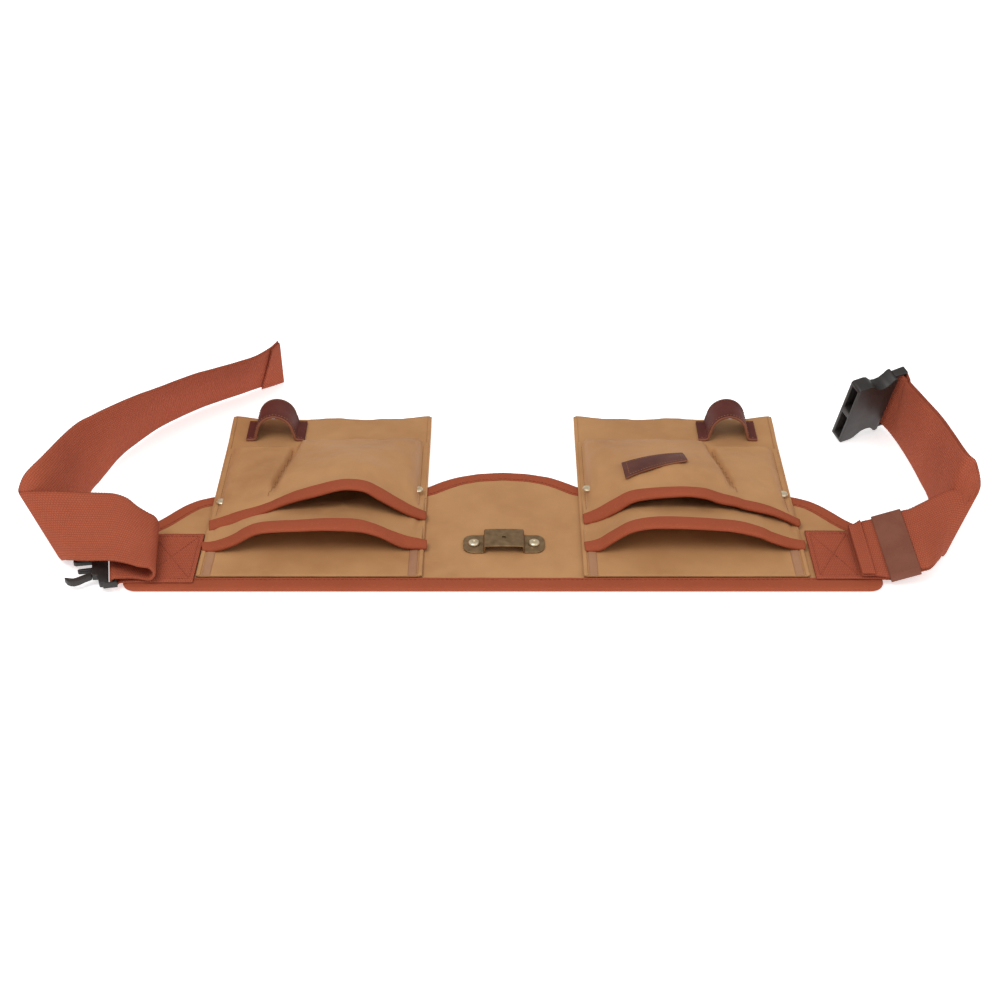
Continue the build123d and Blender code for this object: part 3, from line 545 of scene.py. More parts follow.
KD = unit((0.9485, 0.0133, 0.3165))
KW = unit((-0.066, 0.985, 0.157))
KN = unit(np.cross(KD, KW))
KW = unit(np.cross(KN, KD))
KP = V(270.7, 5.6, 9.3)
strap0 = KP + KW * 1.55
D_OUT, D_IN = -2.55, -4.95


def along(s, d):
    return (strap0 + KD * s + KN * d, KW * 60)


mid_run = [((304, 14, 13.6), (1.5, 58.8, 12.4)), ((308.2, 23, 10.4), (9, 56.4, 18.2)), ((312.2, 32.8, 7), (19, 51.5, 24)),
           ((315.5, 42, 4.2), (31, 42, 29))]
UP = [((319, 66, 1.8), (25, 24, 49)), ((321.5, 88, 1.4), (14, 0, 58.3)), ((322.5, 121, 1.3), (7, 0, 59.6)),
      ((321, 140, 1.3), (5, 0, 59.8)), ((318.5, 168, 1.3), (0, 0, 60)), ((314.5, 196, 1.5), (-1.5, -6.5, 59.6)),
      ((309.9, 213.2, 2.8), (4, -17, 57.4))]


def shifted(st, d):
    out = []
    for i, (b, w) in enumerate(st):
        lo, hi = st[max(i - 1, 0)], st[min(i + 1, len(st) - 1)]
        t = (V(*hi[0]) + V(*hi[1]) / 2) - (V(*lo[0]) + V(*lo[1]) / 2)
        out.append((V(*b) + unit(np.cross(t, V(*w))) * d, w))
    return out


inner = [((x, 9.3, PLY_Z), (0, 60, 0)) for x in (221, 240, 257.3)] + [((263, 9.1, PLY_Z + .15), (-1.5, 59.8, 4.2))]
inner += [along(s, D_IN) for s in (0.6, 2.5, 8, 15, 22, 25)]
finish_piece(ribbon("right_sewn_webbing", inner), ("right_wing", "right_strap", (259, 39, 4), (272, 39, 4)), "webbing",
             "right_strap_patch")
outer = [((252.8, 9.4, 7.32), (-.4, 60, .8)), ((258.2, 9.2, 7.42), (-.8, 60, 1.8)), ((263.2, 9, 7.52), (-1.8, 59.8, 5.6))]
face_run = outer + [along(s, D_OUT) for s in (0.6, 2.5, 8, 15, 22, 25)]
finish_piece(ribbon("right_webbing_face", face_run), "right_strap", "webbing", "right_webbing_outer")
finish_piece(ribbon("right_face_fold", outer[:3], offset=WEB_T + 0.15), "right_strap", "webbing", "right_tail_hem")

REC_W = unit((6, -20.5, 56))
REC_D = unit(V(-38, -19, -2.6))
REC_D = unit(REC_D - REC_W * (REC_D @ REC_W))
REC_N = np.cross(REC_D, REC_W)
REC_BAR = V(306, 224.5, 6.6)
st_t = unit((-8, 26, 0))
st_t = unit(st_t - REC_W * (st_t @ REC_W))
st_n = np.cross(st_t, REC_W)
turn = []
for a in (-90, -45, 0, 45, 90):
    r = math.radians(a)
    turn.append((REC_BAR + st_t * 3 * math.cos(r) + st_n * 3 * math.sin(r), REC_W * 60))
out_chain = [along(22, D_OUT), along(25, D_OUT)] + shifted([along(28.5, D_IN)] + mid_run + UP, 2.35)
fold_r = V(315.5, 42, 4.2) + V(31, 42, 29) / 2
ax_r = unit((31, 42, 29))
d_r = V(0.25, 1.0, 0.0)
d_r = unit(d_r - ax_r * (d_r @ ax_r))
finish_piece(ribbon("right_webbing_doubled", [along(22, D_IN), along(25, D_IN), along(28.5, D_IN)] + mid_run + UP + turn + out_chain[::-1]),
             ("right_strap", "right_strap_end", fold_r + d_r * 12, fold_r + d_r * 26), "webbing",
             "right_webbing_inner", "right_webbing_upper")

# boxed cross of stitches on both sewn ends
for side, sign, x0, x1, y0 in (("left", -1, 221.0, 254.0, 9.0), ("right", 1, 224.0, 251.0, 13.0)):
    z, y1 = PLY_Z + 1.02, y0 + 52
    q = [(sign * x0, y0, z), (sign * x1, y0, z), (sign * x1, y1, z), (sign * x0, y1, z)]
    pairs = ((q[0], q[1]), (q[1], q[2]), (q[2], q[3]), (q[3], q[0]), (q[0], q[2]), (q[1], q[3]))
    ob = join(side + "_box_stitches", [stitches("st%s%d" % (side, i), ab, (0, 0, 1), M_THREAD) for i, ab in enumerate(pairs)])
    finish_piece(ob, side + "_wing", "webbing")


# ---- pouches ---------------------------------------------------------------
# Lip curves: distance from the pouch's inner side, y, z. rim = free edge of the
# opening, top = where the lip tape ends on the pocket face.
LIPS = {
    "left": {
        "outer_rim": [(-1.2, 81.0, 7.2), (7.8, 78.9, 11.6), (18.5, 76.7, 19.0), (32.7, 75.4, 29.3), (42.0, 74.6, 36.4),
                      (53.9, 73.5, 39.2), (63.6, 73.0, 38.2), (77.1, 73.0, 33.8), (91.9, 73.0, 29.5), (104.3, 72.7, 25.3),
                      (115.5, 72.0, 20.0), (121.8, 71.5, 16.6), (134.3, 70.7, 12.0), (146.8, 69.6, 8.0), (156.9, 67.3, 6.6)],
        "outer_top": [(-0.8, 90.0, 7.1), (8.2, 88.4, 12.7), (18.9, 86.7, 21.1), (33.2, 85.8, 32.0), (42.7, 85.2, 37.5),
                      (54.7, 84.4, 39.5), (64.4, 84.0, 38.5), (78.0, 84.0, 34.6), (93.0, 84.0, 29.5), (105.6, 83.6, 23.6),
                      (113.2, 83.0, 20.0), (123.1, 82.2, 16.8), (135.4, 81.2, 13.6), (147.9, 79.7, 9.6), (158.1, 77.0, 7.7)],
        "main_rim": [(-3.1, 44.0, 6.9), (11.2, 41.8, 9.2), (18.2, 40.8, 12.8), (28.6, 40.1, 19.9), (40.3, 39.3, 24.7),
                     (52.0, 38.5, 26.7), (69.7, 38.0, 27.8), (87.5, 38.0, 27.1), (105.3, 38.2, 26.2), (117.3, 38.8, 24.0),
                     (126.1, 39.2, 19.3), (136.3, 39.6, 12.9), (149.4, 40.7, 7.5), (158.4, 42.0, 6.4)],
        "main_top": [(-2.8, 52.0, 7.9), (11.5, 50.9, 12.4), (23.3, 50.2, 17.9), (35.0, 49.8, 24.0), (46.7, 49.4, 28.0),
                     (62.1, 49.0, 29.0), (75.3, 49.0, 28.6), (88.5, 49.0, 27.5), (106.5, 49.1, 26.5), (118.2, 49.4, 24.6),
                     (127.2, 49.6, 20.5), (137.6, 49.8, 13.6), (150.6, 50.4, 8.0), (160.0, 51.0, 6.6)],
    },
    "right": {
        "outer_rim": [(1.7, 75.8, 6.6), (13.3, 74.7, 10.8), (24.7, 74.2, 18.2), (36.0, 73.8, 27.2), (48.9, 73.4, 31.0),
                      (64.7, 73.0, 33.0), (77.7, 73.0, 33.6), (91.0, 73.0, 31.2), (99.9, 73.0, 27.7), (111.8, 72.9, 25.2),
                      (119.2, 72.8, 22.6), (129.6, 72.7, 20.1), (141.5, 72.5, 17.0), (152.1, 72.2, 12.0), (159.8, 72.0, 7.2)],
        "outer_top": [(1.3, 85.9, 7.6), (10.8, 85.3, 12.5), (22.3, 84.8, 20.8), (35.1, 84.6, 28.9), (49.6, 84.2, 31.7),
                      (71.5, 84.0, 33.1), (89.1, 84.0, 31.8), (101.1, 84.0, 27.5), (113.0, 83.4, 24.3), (119.1, 83.2, 22.0),
                      (125.0, 82.9, 20.8), (135.4, 82.4, 18.0), (146.0, 81.8, 13.4), (156.6, 80.2, 8.8), (160.2, 80.0, 7.0)],
        "main_rim": [(1.3, 41.6, 6.4), (11.7, 40.4, 8.4), (20.0, 39.8, 15.4), (32.5, 39.2, 24.5), (46.4, 38.6, 28.6),
                     (62.0, 38.0, 29.4), (76.2, 38.0, 29.0), (93.4, 38.0, 27.9), (107.8, 38.5, 26.0), (125.4, 39.7, 20.6),
                     (134.5, 40.3, 16.0), (145.0, 41.0, 11.4), (152.9, 42.8, 8.0), (160.0, 44.0, 6.4)],
        "main_top": [(0.8, 50.9, 6.8), (10.7, 50.3, 9.9), (20.5, 49.9, 17.2), (33.1, 49.6, 25.8), (47.2, 49.3, 29.6),
                     (62.8, 49.0, 30.4), (83.0, 49.0, 29.4), (97.4, 49.0, 28.2), (111.9, 49.5, 26.0), (126.7, 50.2, 20.8),
                     (135.9, 50.6, 15.8), (149.6, 51.7, 9.8), (160.4, 53.0, 6.6)],
    },
}
NU = 121
US = np.linspace(0, 1, NU)


def curve_at(pts, n=NU):
    c = catmull(np.array(pts, float), 8)
    d = np.r_[0, np.cumsum(np.linalg.norm(np.diff(c, axis=0), axis=1))]
    u = np.linspace(c[0, 0], c[-1, 0], n)
    return np.array([u, np.interp(u, c[:, 0], c[:, 1]), np.interp(u, c[:, 0], c[:, 2])]).T


def smooth01(t):
    t = min(1.0, max(0.0, t))
    return t * t * (3 - 2 * t)


def closed_sheet(name, top, thick, mat, down=None):
    """Two-sided cloth from a grid of points; `top` is rows x columns x 3."""
    nr, nc = top.shape[:2]
    du = np.gradient(top, axis=1)
    dv = np.gradient(top, axis=0)
    nrm = np.cross(du, dv)
    ln = np.linalg.norm(nrm, axis=2)[..., None]
    nrm = nrm / np.maximum(ln, 1e-9)
    if np.mean(nrm[..., 2]) < 0:
        nrm = -nrm
    under = top - nrm * thick
    verts = np.concatenate([top.reshape(-1, 3), under.reshape(-1, 3)])
    k = nr * nc
    faces = grid_faces(nr, nc) + grid_faces(nr, nc, base=k, flip=True)
    for i in range(nr - 1):
        faces.append((i * nc, (i + 1) * nc, k + (i + 1) * nc, k + i * nc))
        faces.append((i * nc + nc - 1, k + i * nc + nc - 1, k + (i + 1) * nc + nc - 1, (i + 1) * nc + nc - 1))
    for j in range(nc - 1):
        faces.append((j, k + j, k + j + 1, j + 1))
        a = (nr - 1) * nc
        faces.append((a + j, a + j + 1, k + a + j + 1, k + a + j))
    return orient(mesh_obj(name, verts, faces, mat, [(v[0], v[1]) for v in verts]))


def outer_bottom(u):
    """Bottom fold of the outer pocket: y and height across the pouch."""
    wide = smooth01((104.0 - u) / 7.0)
    y = 177.0 + (180.0 + 7.0 * (1 - u / 99.0) - 177.0) * wide
    end = smooth01(u / 10.0) * smooth01((158.0 - u) / 12.0)
    return y, 5.9 + (4.6 + 2.6 * wide) * end


def pocket_grid(side, which, rows):
    rim, top = curve_at(LIPS[side][which + "_rim"]), curve_at(LIPS[side][which + "_top"])
    sd = 11.0 if side == "left" else 37.0
    out = []
    y_lip = top[:, 1]
    for r in range(rows):
        t = r / (rows - 1)
        line = []
        for j in range(NU):
            u0 = max(0.6, min(157.4, top[j, 0]))
            edge = min(1.0, min(u0, 158 - u0) / 13.0)
            if which == "outer":
                yb, zb = outer_bottom(u0)
            else:
                yb, zb = 176.0, 6.6
            if t < 0.9:
                q = t / 0.9
                y = y_lip[j] + (yb - y_lip[j]) * q
                zt = top[j, 2]
                if which == "outer":
                    fall = (1 - q) ** 1.25
                    body = (3.4 * math.sin(math.pi * min(1, q * 1.05))) * edge
                else:
                    fall = (1 - q) ** 2.0
                    body = 0.0
                z = zb + (zt - zb) * fall + body
                # side wall where the wide section stands above the narrow one
                if which == "outer":
                    seam = 101.0 + (111.0 - 101.0) * (1 - smooth01((y - 80) / 100.0))
                    step = smooth01((u0 - seam + 4.5) / 9.0)
                    rise = 4.4 * smooth01((y - 92) / 22.0) * smooth01((186 - y) / 14.0)
                    z += rise * (1 - step) * edge - 1.2 * rise * math.exp(-((u0 - seam - 3.2) / 3.0) ** 2)
                amp = edge * min(1.0, q * 4)
                x_ = u0 / 26.0
                z += amp * (1.5 * fbm(x_, y / 34.0, 0, sd) + 0.12 * fbm(u0 / 9.0, y / 13.0, 0, sd + 5))
                z += amp * 0.45 * fbm(u0 / 20.0 + y / 40.0, y / 60.0, 1.0, sd)
            else:
                q = (t - 0.9) / 0.1
                a = q * math.pi / 2
                y = yb + (3.0 if which == "outer" else 1.0) * math.sin(a)
                z = 5.7 + (zb - 5.7) * math.cos(a)
            # stitched-down strip along both pouch sides, then a shallow groove
            d = min(u0, 158 - u0)
            flat = smooth01((d - 3.6) / 4.4)
            z_flat = 6.9 if which == "outer" else 6.3
            if t > 0.05:
                z = z_flat + (max(z, z_flat) - z_flat) * (flat * min(1, (t - 0.05) * 8) + (1 - min(1, (t - 0.05) * 8)))
                z -= 0.35 * math.exp(-((d - 4.4) / 0.8) ** 2)
            line.append((u0, y, max(z, 5.6 if which == "main" else 6.0)))
        out.append(line)
    g = np.array(out)
    if which == "main":
        # stays clear of the outer pocket above it
        og = pocket_grid.outer[side]
        for r in range(rows):
            for j in range(NU):
                if g[r, j, 1] > 66:
                    col = og[:, j]
                    lim = np.interp(max(g[r, j, 1], col[0, 1]), col[:int(len(col) * .9), 1], col[:int(len(col) * .9), 2]) - 2.2
                    k = smooth01((g[r, j, 1] - 66) / 12)
                    g[r, j, 2] = max(5.6, min(g[r, j, 2], g[r, j, 2] * (1 - k) + lim * k))
    return g


pocket_grid.outer = {}


def to_world(side, g):
    s = -1 if side == "left" else 1
    w = np.array(g, float).copy()
    w[..., 0] = s * (POUCH_IN + w[..., 0])
    return w


def lip_tape(name, side, which):
    """Folded tape over the free edge: outer leaf, fold, short inner leaf."""
    rim, top = curve_at(LIPS[side][which + "_rim"], 161), curve_at(LIPS[side][which + "_top"], 161)
    rings, uv = [], []
    s = 0.0
    for j in range(161):
        a, b = rim[j], top[j]
        if j:
            s += np.linalg.norm(rim[j] - rim[j - 1])
        tg = rim[min(j + 1, 160)] - rim[max(j - 1, 0)]
        across = b - a
        n = np.cross(tg, across)
        n = unit(n) if n[2] > 0 else -unit(n)
        L = np.linalg.norm(across)
        e = across / L
        wob = 0.18 * fbm(s / 12.0, 2.0, 0, 4.0)
        ring, row = [], []
        prof = [(L + 0.2, 0.1), (L + 0.35, 0.75), (L - 0.4, 1.25), (L - 1.3, 0.98), (L - 2.2, 1.25), (L * 0.6, 1.42), (L * 0.3, 1.4),
                (1.0, 1.1), (0.0, 0.45), (-0.45, -0.6), (0.0, -1.7), (1.0, -2.35), (L * 0.4, -2.4), (L * 0.75, -2.3),
                (L * 0.75, -1.6), (1.6, -1.5), (1.0, -0.9), (1.6, -0.2), (L * 0.5, 0.0)]
        w = 0.0
        for k, (p, q) in enumerate(prof):
            if k:
                w += math.hypot(p - prof[k - 1][0], q - prof[k - 1][1])
            c = a + e * p + n * (q + (wob if q > 0 else 0))
            c[2] = max(c[2], 5.55)
            ring.append(c)
            row.append((w, s))
        rings.append(ring)
        uv.append(row)
    return swept(name, to_world(side, rings), M_BIND, uv)


def dome(name, c, r, h, mat, dimple=0.0):
    """Turned rivet head: rolled skirt, domed top, optional centre dimple."""
    prof = [(r * 0.9, 0.0), (r, h * 0.12), (r * 1.0, h * 0.35), (r * 0.93, h * 0.62), (r * 0.78, h * 0.86), (r * 0.55, h * 0.98),
            (r * 0.34, h * 1.0), (r * 0.24, h * (1.0 - dimple * 0.5)), (r * 0.12, h * (1.0 - dimple)), (0.01, h * (1.0 - dimple))]
    n = 40
    verts = [(c[0] + p * math.cos(2 * math.pi * k / n), c[1] + p * math.sin(2 * math.pi * k / n), c[2] + z)
             for p, z in prof for k in range(n)]
    faces = grid_faces(len(prof), n, close_c=True)
    faces.append(tuple(range(n))[::-1])
    faces.append(tuple((len(prof) - 1) * n + k for k in range(n)))
    return orient(mesh_obj(name, verts, faces, mat))


def cloth_sim(ob, pins, frames=14):
    """Lets the flat cloth settle a little under its own weight, held at its seams."""
    vg = ob.vertex_groups.new(name="pin")
    for i, w in pins:
        vg.add([i], w, "REPLACE")
    m = ob.modifiers.new("cloth", "CLOTH")
    m.settings.quality = 4
    m.settings.mass = 0.25
    m.settings.tension_stiffness = 60
    m.settings.compression_stiffness = 60
    m.settings.bending_stiffness = 18
    m.settings.vertex_group_mass = "pin"
    m.settings.effector_weights.gravity = 0.04
    m.point_cache.frame_start, m.point_cache.frame_end = 1, frames
    sc = bpy.context.scene
    sc.frame_start, sc.frame_end = 1, frames
    for f in range(1, frames + 1):
        sc.frame_set(f)
        bpy.context.view_layer.update()
    apply_mods(ob)
    sc.frame_set(1)
    return ob


RIVET_SPOTS = {"left": [(6.0, 115.0), (152.2, 103.0)], "right": [(6.0, 114.0), (152.2, 111.0)]}
LOOP_U = {"left": 122.0, "right": 120.5}
for side, sign in (("left", -1), ("right", 1)):
    body = side + "_pouch"
    pocket_grid.outer[side] = pocket_grid(side, "outer", 84)

    # flat back: behind the pockets, then a free flange with slightly curled corners
    xs, ys = np.linspace(0.9, 157.1, 80), np.linspace(12.4, 228.0, 108)
    g = np.zeros((len(ys), len(xs), 3))
    for i, y in enumerate(ys):
        for j, u in enumerate(xs):
            curl = smooth01((y - 186) / 42) * (2.6 * smooth01((26 - min(u, 158 - u)) / 26) + 1.1 * fbm(u / 30, y / 26, 0, 21))
            wave = 0.28 * fbm(u / 24, y / 24, 0, 31) * smooth01((y - 14) / 8)
            yy = y + (0.9 * fbm(u / 34, 2.2, 0, 3.0) if i == len(ys) - 1 else 0)
            g[i, j] = (u, min(yy, 229.0), 5.42 + wave * 0.4 + max(curl, -0.4))
    back = closed_sheet(body + "_back_sheet", to_world(side, g), 1.1, M_CANVAS)
    n_row, n_col = len(ys), len(xs)
    pins = []
    for i in range(2 * n_row * n_col):
        y = ys[(i % (n_row * n_col)) // n_col]
        pins.append((i, 1.0 if y < 192 else max(0.35, 1 - (y - 192) / 40)))
    cloth_sim(back, pins)
    finish_piece(back, body, "canvas", side + "_pouch_back")

    main = closed_sheet(side + "_main_front", to_world(side, pocket_grid(side, "main", 56)), 1.1, M_CANVAS)
    finish_piece(main, body, "canvas", side + "_main_pocket")
    front = closed_sheet(side + "_outer_front", to_world(side, pocket_grid.outer[side]), 1.1, M_CANVAS)
    finish_piece(front, body, "canvas", side + "_outer_pocket")
    finish_piece(lip_tape(side + "_main_lip_tape", side, "main"), body, "binding", side + "_main_lip_binding")
    finish_piece(lip_tape(side + "_outer_lip_tape", side, "outer"), body, "binding", side + "_outer_lip_binding")

    # folded strips along both pouch sides: a narrow one at the edge, a wider one inside it
    for which, ua, ub, uc, ud in (("inner", -0.9, 2.3, 3.1, 9.4), ("outer", 158.9, 155.7, 154.9, 148.6)):
        parts = []
        for tag, a, b, y1, mat in (("edge", ua, ub, 226.0, M_CANVAS), ("flat", uc, ud, 47.5, M_TAPE)):
            rings = []
            lo, hi = min(a, b), max(a, b)
            sec = [(lo, 4.4), (lo - 0.1, 5.5), (lo + 0.35, 6.25), (lo + 0.9, 6.42), ((lo + hi) / 2, 6.5), (hi - 0.9, 6.42),
                   (hi - 0.35, 6.25), (hi + 0.1, 5.5), (hi, 4.4)]
            drop = 0.0 if tag == "edge" else -0.25
            for y in np.linspace(12.5, y1, 90 if tag == "edge" else 20):
                up = 2.4 * smooth01((y - 186) / 42) if tag == "edge" else 0.0
                rings.append([(u, y, z + drop + up + 0.1 * fbm(u / 8, y / 12, 0, 7)) for u, z in sec])
            parts.append(swept("t" + side + which + tag, to_world(side, rings), mat))
        ob = join(side + "_side_strips_" + which, parts)
        finish_piece(ob, body, "canvas", side + "_pouch_tape_" + which)

    # top-stitching: pouch sides and the divider seam
    og = pocket_grid.outer[side]
    rows = []
    for u_line in (4.4, 153.6):
        j = int(np.argmin(np.abs(og[40, :, 0] - u_line)))
        line = og[4:74, j].copy()
        line[:, 2] += 0.15
        rows.append(stitches("ss%s%d" % (side, j), to_world(side, line), (0, 0, 1), M_THREAD_TAN, 2.8, 2.0, 0.22, 0.0))
    line = []
    for r in range(8, 74):
        y = og[r, 60, 1]
        seam = 101.0 + 10.0 * (1 - smooth01((y - 80) / 100.0)) + 5.2
        j = int(np.argmin(np.abs(og[r, :, 0] - seam)))
        line.append(og[r, j] + V(0, 0, 0.2))
    rows.append(stitches("dv" + side, to_world(side, np.array(line)), (0, 0, 1), M_THREAD_TAN, 2.8, 2.0, 0.22, 0.0))
    finish_piece(join(side + "_pouch_stitches", rows), body, "canvas")

    caps = []
    for k, (u, y) in enumerate(RIVET_SPOTS[side]):
        j = int(np.argmin(np.abs(og[30, :, 0] - u)))
        z = float(np.interp(y, og[:75, j, 1], og[:75, j, 2]))
        caps.append(dome("rv%s%d" % (side, k), (sign * (POUCH_IN + u), y, max(z, 6.9) + 0.25), 3.9, 1.7, M_RIVET, 0.25))
    finish_piece(join(side + "_pocket_rivets", caps), body, "rivet_brass", side + "_pouch_rivets")

    # leather loop: arched strip, flat stitched feet, raw edges, stitched border
    uc, w0, w1 = LOOP_U[side], 193.0, 221.0
    arc = [(-23.0, 1.25), (-17.4, 1.3), (-15.6, 2.6), (-14.9, 6.0)]
    arc += [(-14.4 * math.cos(a), 3.5 + 18.3 * math.sin(a) ** 0.85) for a in np.linspace(0.22, math.pi - 0.22, 15)]
    arc += [(14.9, 6.0), (15.6, 2.6), (17.4, 1.3), (23.0, 1.25)]
    p, s = resample(np.c_[catmull(np.array(arc), 6), np.zeros(len(arc) * 6 - 5)], 0.7)
    t = np.gradient(p[:, :2], axis=0)
    nr = np.c_[-t[:, 1], t[:, 0]]
    nr /= np.linalg.norm(nr, axis=1)[:, None]
    if nr[len(nr) // 2, 1] < 0:
        nr = -nr
    ws = [w0 + 0.25, w0, w0, w0 + 0.3] + list(np.linspace(w0 + 1.6, w1 - 1.6, 14)) + [w1 - 0.3, w1, w1, w1 - 0.25]
    hs = [-1.05, -0.7, 0.7, 1.08] + [1.1] * 14 + [1.08, 0.7, -0.7, -1.05]
    rings = []
    for i in range(len(p)):
        ring = [(uc + p[i, 0] + nr[i, 0] * h, w, 5.6 + p[i, 1] + nr[i, 1] * h + 0.12 * fbm(i / 20, w / 9, 0, 3))
                for w, h in zip(ws, hs)]
        ring += [(uc + p[i, 0] - nr[i, 0] * 1.1, w, 5.6 + p[i, 1] - nr[i, 1] * 1.1) for w in np.linspace(w1 - 1.6, w0 + 1.6, 8)]
        rings.append(ring)
    lp_ob = swept(body + "_leather_loop", to_world(side, rings), M_LOOP)
    lp_ob.data.materials.append(M_RAW)
    for poly in lp_ob.data.polygons:
        if abs(poly.normal.y) > 0.62:
            poly.material_index = 1
    st = []
    for w in (w0 + 2.3, w1 - 2.3):
        line = np.array([(uc + p[i, 0] + nr[i, 0] * 1.1, w, 5.6 + p[i, 1] + nr[i, 1] * 1.1) for i in range(2, len(p) - 2)])
        third = len(line) // 6
        for q in range(6):
            seg = line[q * third:(q + 1) * third + 1]
            m_ = nr[2 + q * third + third // 2]
            st.append(stitches("lt%s%d%d" % (side, int(w), q), to_world(side, seg), (sign * m_[0], 0, m_[1]), M_THREAD_TAN, 2.4, 1.6, 0.22, 0.1))
    finish_piece(lp_ob, body, "loop_leather", side + "_tool_loop")
    finish_piece(join(side + "_loop_stitches", st), body, "loop_leather")

# leather label on the right pouch: plain face, stitched border, lighter cut edge
og = pocket_grid.outer["right"]
flat = og[:75].reshape(-1, 3)


def face_z(x, y):
    u = x - POUCH_IN
    j = int(np.argmin(np.abs(og[30, :, 0] - u)))
    return float(np.interp(y, og[:75, j, 1], og[:75, j, 2]))


A, B, C = V(90.5, 99.5), V(138.0, 118.5), V(-0.08, 0.997)
gx, gy = 44, 20
top = np.zeros((gy, gx, 3))
for i in range(gy):
    for j in range(gx):
        q = A + (B - A) * (j / (gx - 1)) + C * 21.0 * (i / (gy - 1))
        e = min(i, gy - 1 - i, 2 * j, 2 * (gx - 1 - j))
        top[i, j] = (q[0], q[1], face_z(q[0], q[1]) + 1.5 - (0.35 if e == 0 else 0))
fx, fy = (top[..., 0].ravel() - 114) / 25, (top[..., 1].ravel() - 120) / 20
basis = np.c_[np.ones_like(fx), fx, fy, fx * fy, fx * fx, fy * fy]
zz = top[..., 2].ravel()
fit = basis @ np.linalg.lstsq(basis, zz, rcond=None)[0]
top[..., 2] = (fit + max(0.0, float((zz - fit).max())) * 0.85).reshape(gy, gx)
label = closed_sheet("label_leather_patch", top, 1.4, M_LABEL)
label.data.materials.append(M_RAW)
for poly in label.data.polygons:
    if abs(poly.normal.z) < 0.5:
        poly.material_index = 1
st = []
ring = [top[2, 3:gx - 3], top[2:gy - 2, gx - 4], top[gy - 3, 3:gx - 3][::-1], top[2:gy - 2, 3][::-1]]
for k, line in enumerate(ring):
    st.append(stitches("ls%d" % k, line, (0, -0.1, 1), M_THREAD_TAN, 2.2, 1.5, 0.2, 0.05))
finish_piece(label, "right_pouch", "label_leather", "label_patch")
finish_piece(join("label_stitches", st), "right_pouch", "label_leather")


# ---- tape clip -------------------------------------------------------------
CX, CY, Z0 = 0.8, 53.0, 3.7
prof = [(-29.5, 0.6), (-16.0, 0.6), (-14.6, 0.9), (-14.15, 2.0), (-14.1, 4.4), (-13.7, 5.5), (-12.6, 5.9), (-6.0, 6.15),
        (0.0, 6.2), (6.0, 6.15), (12.6, 5.9), (13.7, 5.5), (14.1, 4.4), (14.15, 2.0), (14.6, 0.9), (16.0, 0.6), (29.5, 0.6)]
c = catmull(np.array([(a, b, 0.0) for a, b in prof]), 5)
p, s = resample(c, 0.35)
t = np.gradient(p[:, :2], axis=0)
nr = np.c_[-t[:, 1], t[:, 0]]
nr /= np.linalg.norm(nr, axis=1)[:, None]
rings = []
for i in range(len(p)):
    x = p[i, 0]
    e = 29.5 - abs(x)
    hw = 11.0 if e >= 7 else 4.0 + 7.0 * math.sqrt(max(0.0, 1 - ((7 - e) / 7.0) ** 2))
    ws = np.r_[-hw, -hw + 0.25, np.linspace(-hw + 0.7, hw - 0.7, 18), hw - 0.25, hw]
    ring = []
    for sg, seq in ((1, ws), (-1, ws[::-1])):
        for w in seq:
            h = 0.6 * (1.0 if abs(w) < hw - 0.5 else (0.86 if abs(w) < hw - 0.1 else 0.45))
            ring.append((CX + x + nr[i, 0] * h * sg, CY + w, Z0 + p[i, 1] + nr[i, 1] * h * sg))
    rings.append(ring)
clip = swept("tape_clip_bridge", rings, M_BRASS)
# round hole in the bridge: a cylinder cut through the plate
bm = bmesh.new()
bmesh.ops.create_cone(bm, cap_ends=True, segments=40, radius1=1.55 * MM, radius2=1.55 * MM, depth=8 * MM,
                      matrix=Matrix.Translation((CX * MM, CY * MM, (Z0 + 8.5) * MM)))
me = bpy.data.meshes.new("bore")
bm.to_mesh(me)
bm.free()
cutter = bpy.data.objects.new("bore", me)
bpy.context.scene.collection.objects.link(cutter)
b = clip.modifiers.new("bore", "BOOLEAN")
b.operation, b.object, b.solver = "DIFFERENCE", cutter, "EXACT"
apply_mods(clip)
bpy.data.objects.remove(cutter)
finish_piece(clip, "centre", "clip_brass", "tape_clip")
caps = [dome("cr%d" % k, (CX + k * 21.8, CY, Z0 + 1.2), 4.2, 2.1, M_RIVET, 0.35) for k in (-1, 1)]
finish_piece(join("clip_rivet_heads", caps), "centre", "rivet_brass", "clip_rivets")

# ---- keeper band -----------------------------------------------------------
def frame_point(o, x, y, z, a, b_, c_):
    return o + x * a + y * b_ + z * c_


tube_lo, tube_hi = D_IN - WEB_T / 2 - 0.35, D_OUT + WEB_T / 2 + 0.35
dep = tube_hi - tube_lo
kc = strap0 + KW * 30 + KN * (tube_lo + tube_hi) / 2 + KD * (21.5 / 2 + 0.9)
hw, hh = 30.35, dep / 2


def round_rect(hw, hh, r, n=7):
    out = []
    for cx, cy, a0 in ((hw - r, hh - r, 0), (-hw + r, hh - r, 90), (-hw + r, -hh + r, 180), (hw - r, -hh + r, 270)):
        for k in range(n):
            a = math.radians(a0 + 90 * k / (n - 1))
            out.append((cx + r * math.cos(a), cy + r * math.sin(a)))
    pts = []
    for (a, b2) in zip(out, out[1:] + out[:1]):
        m_ = max(1, int(math.hypot(b2[0] - a[0], b2[1] - a[1]) / 2.5))
        pts += [(a[0] + (b2[0] - a[0]) * q / m_, a[1] + (b2[1] - a[1]) * q / m_) for q in range(m_)]
    return pts


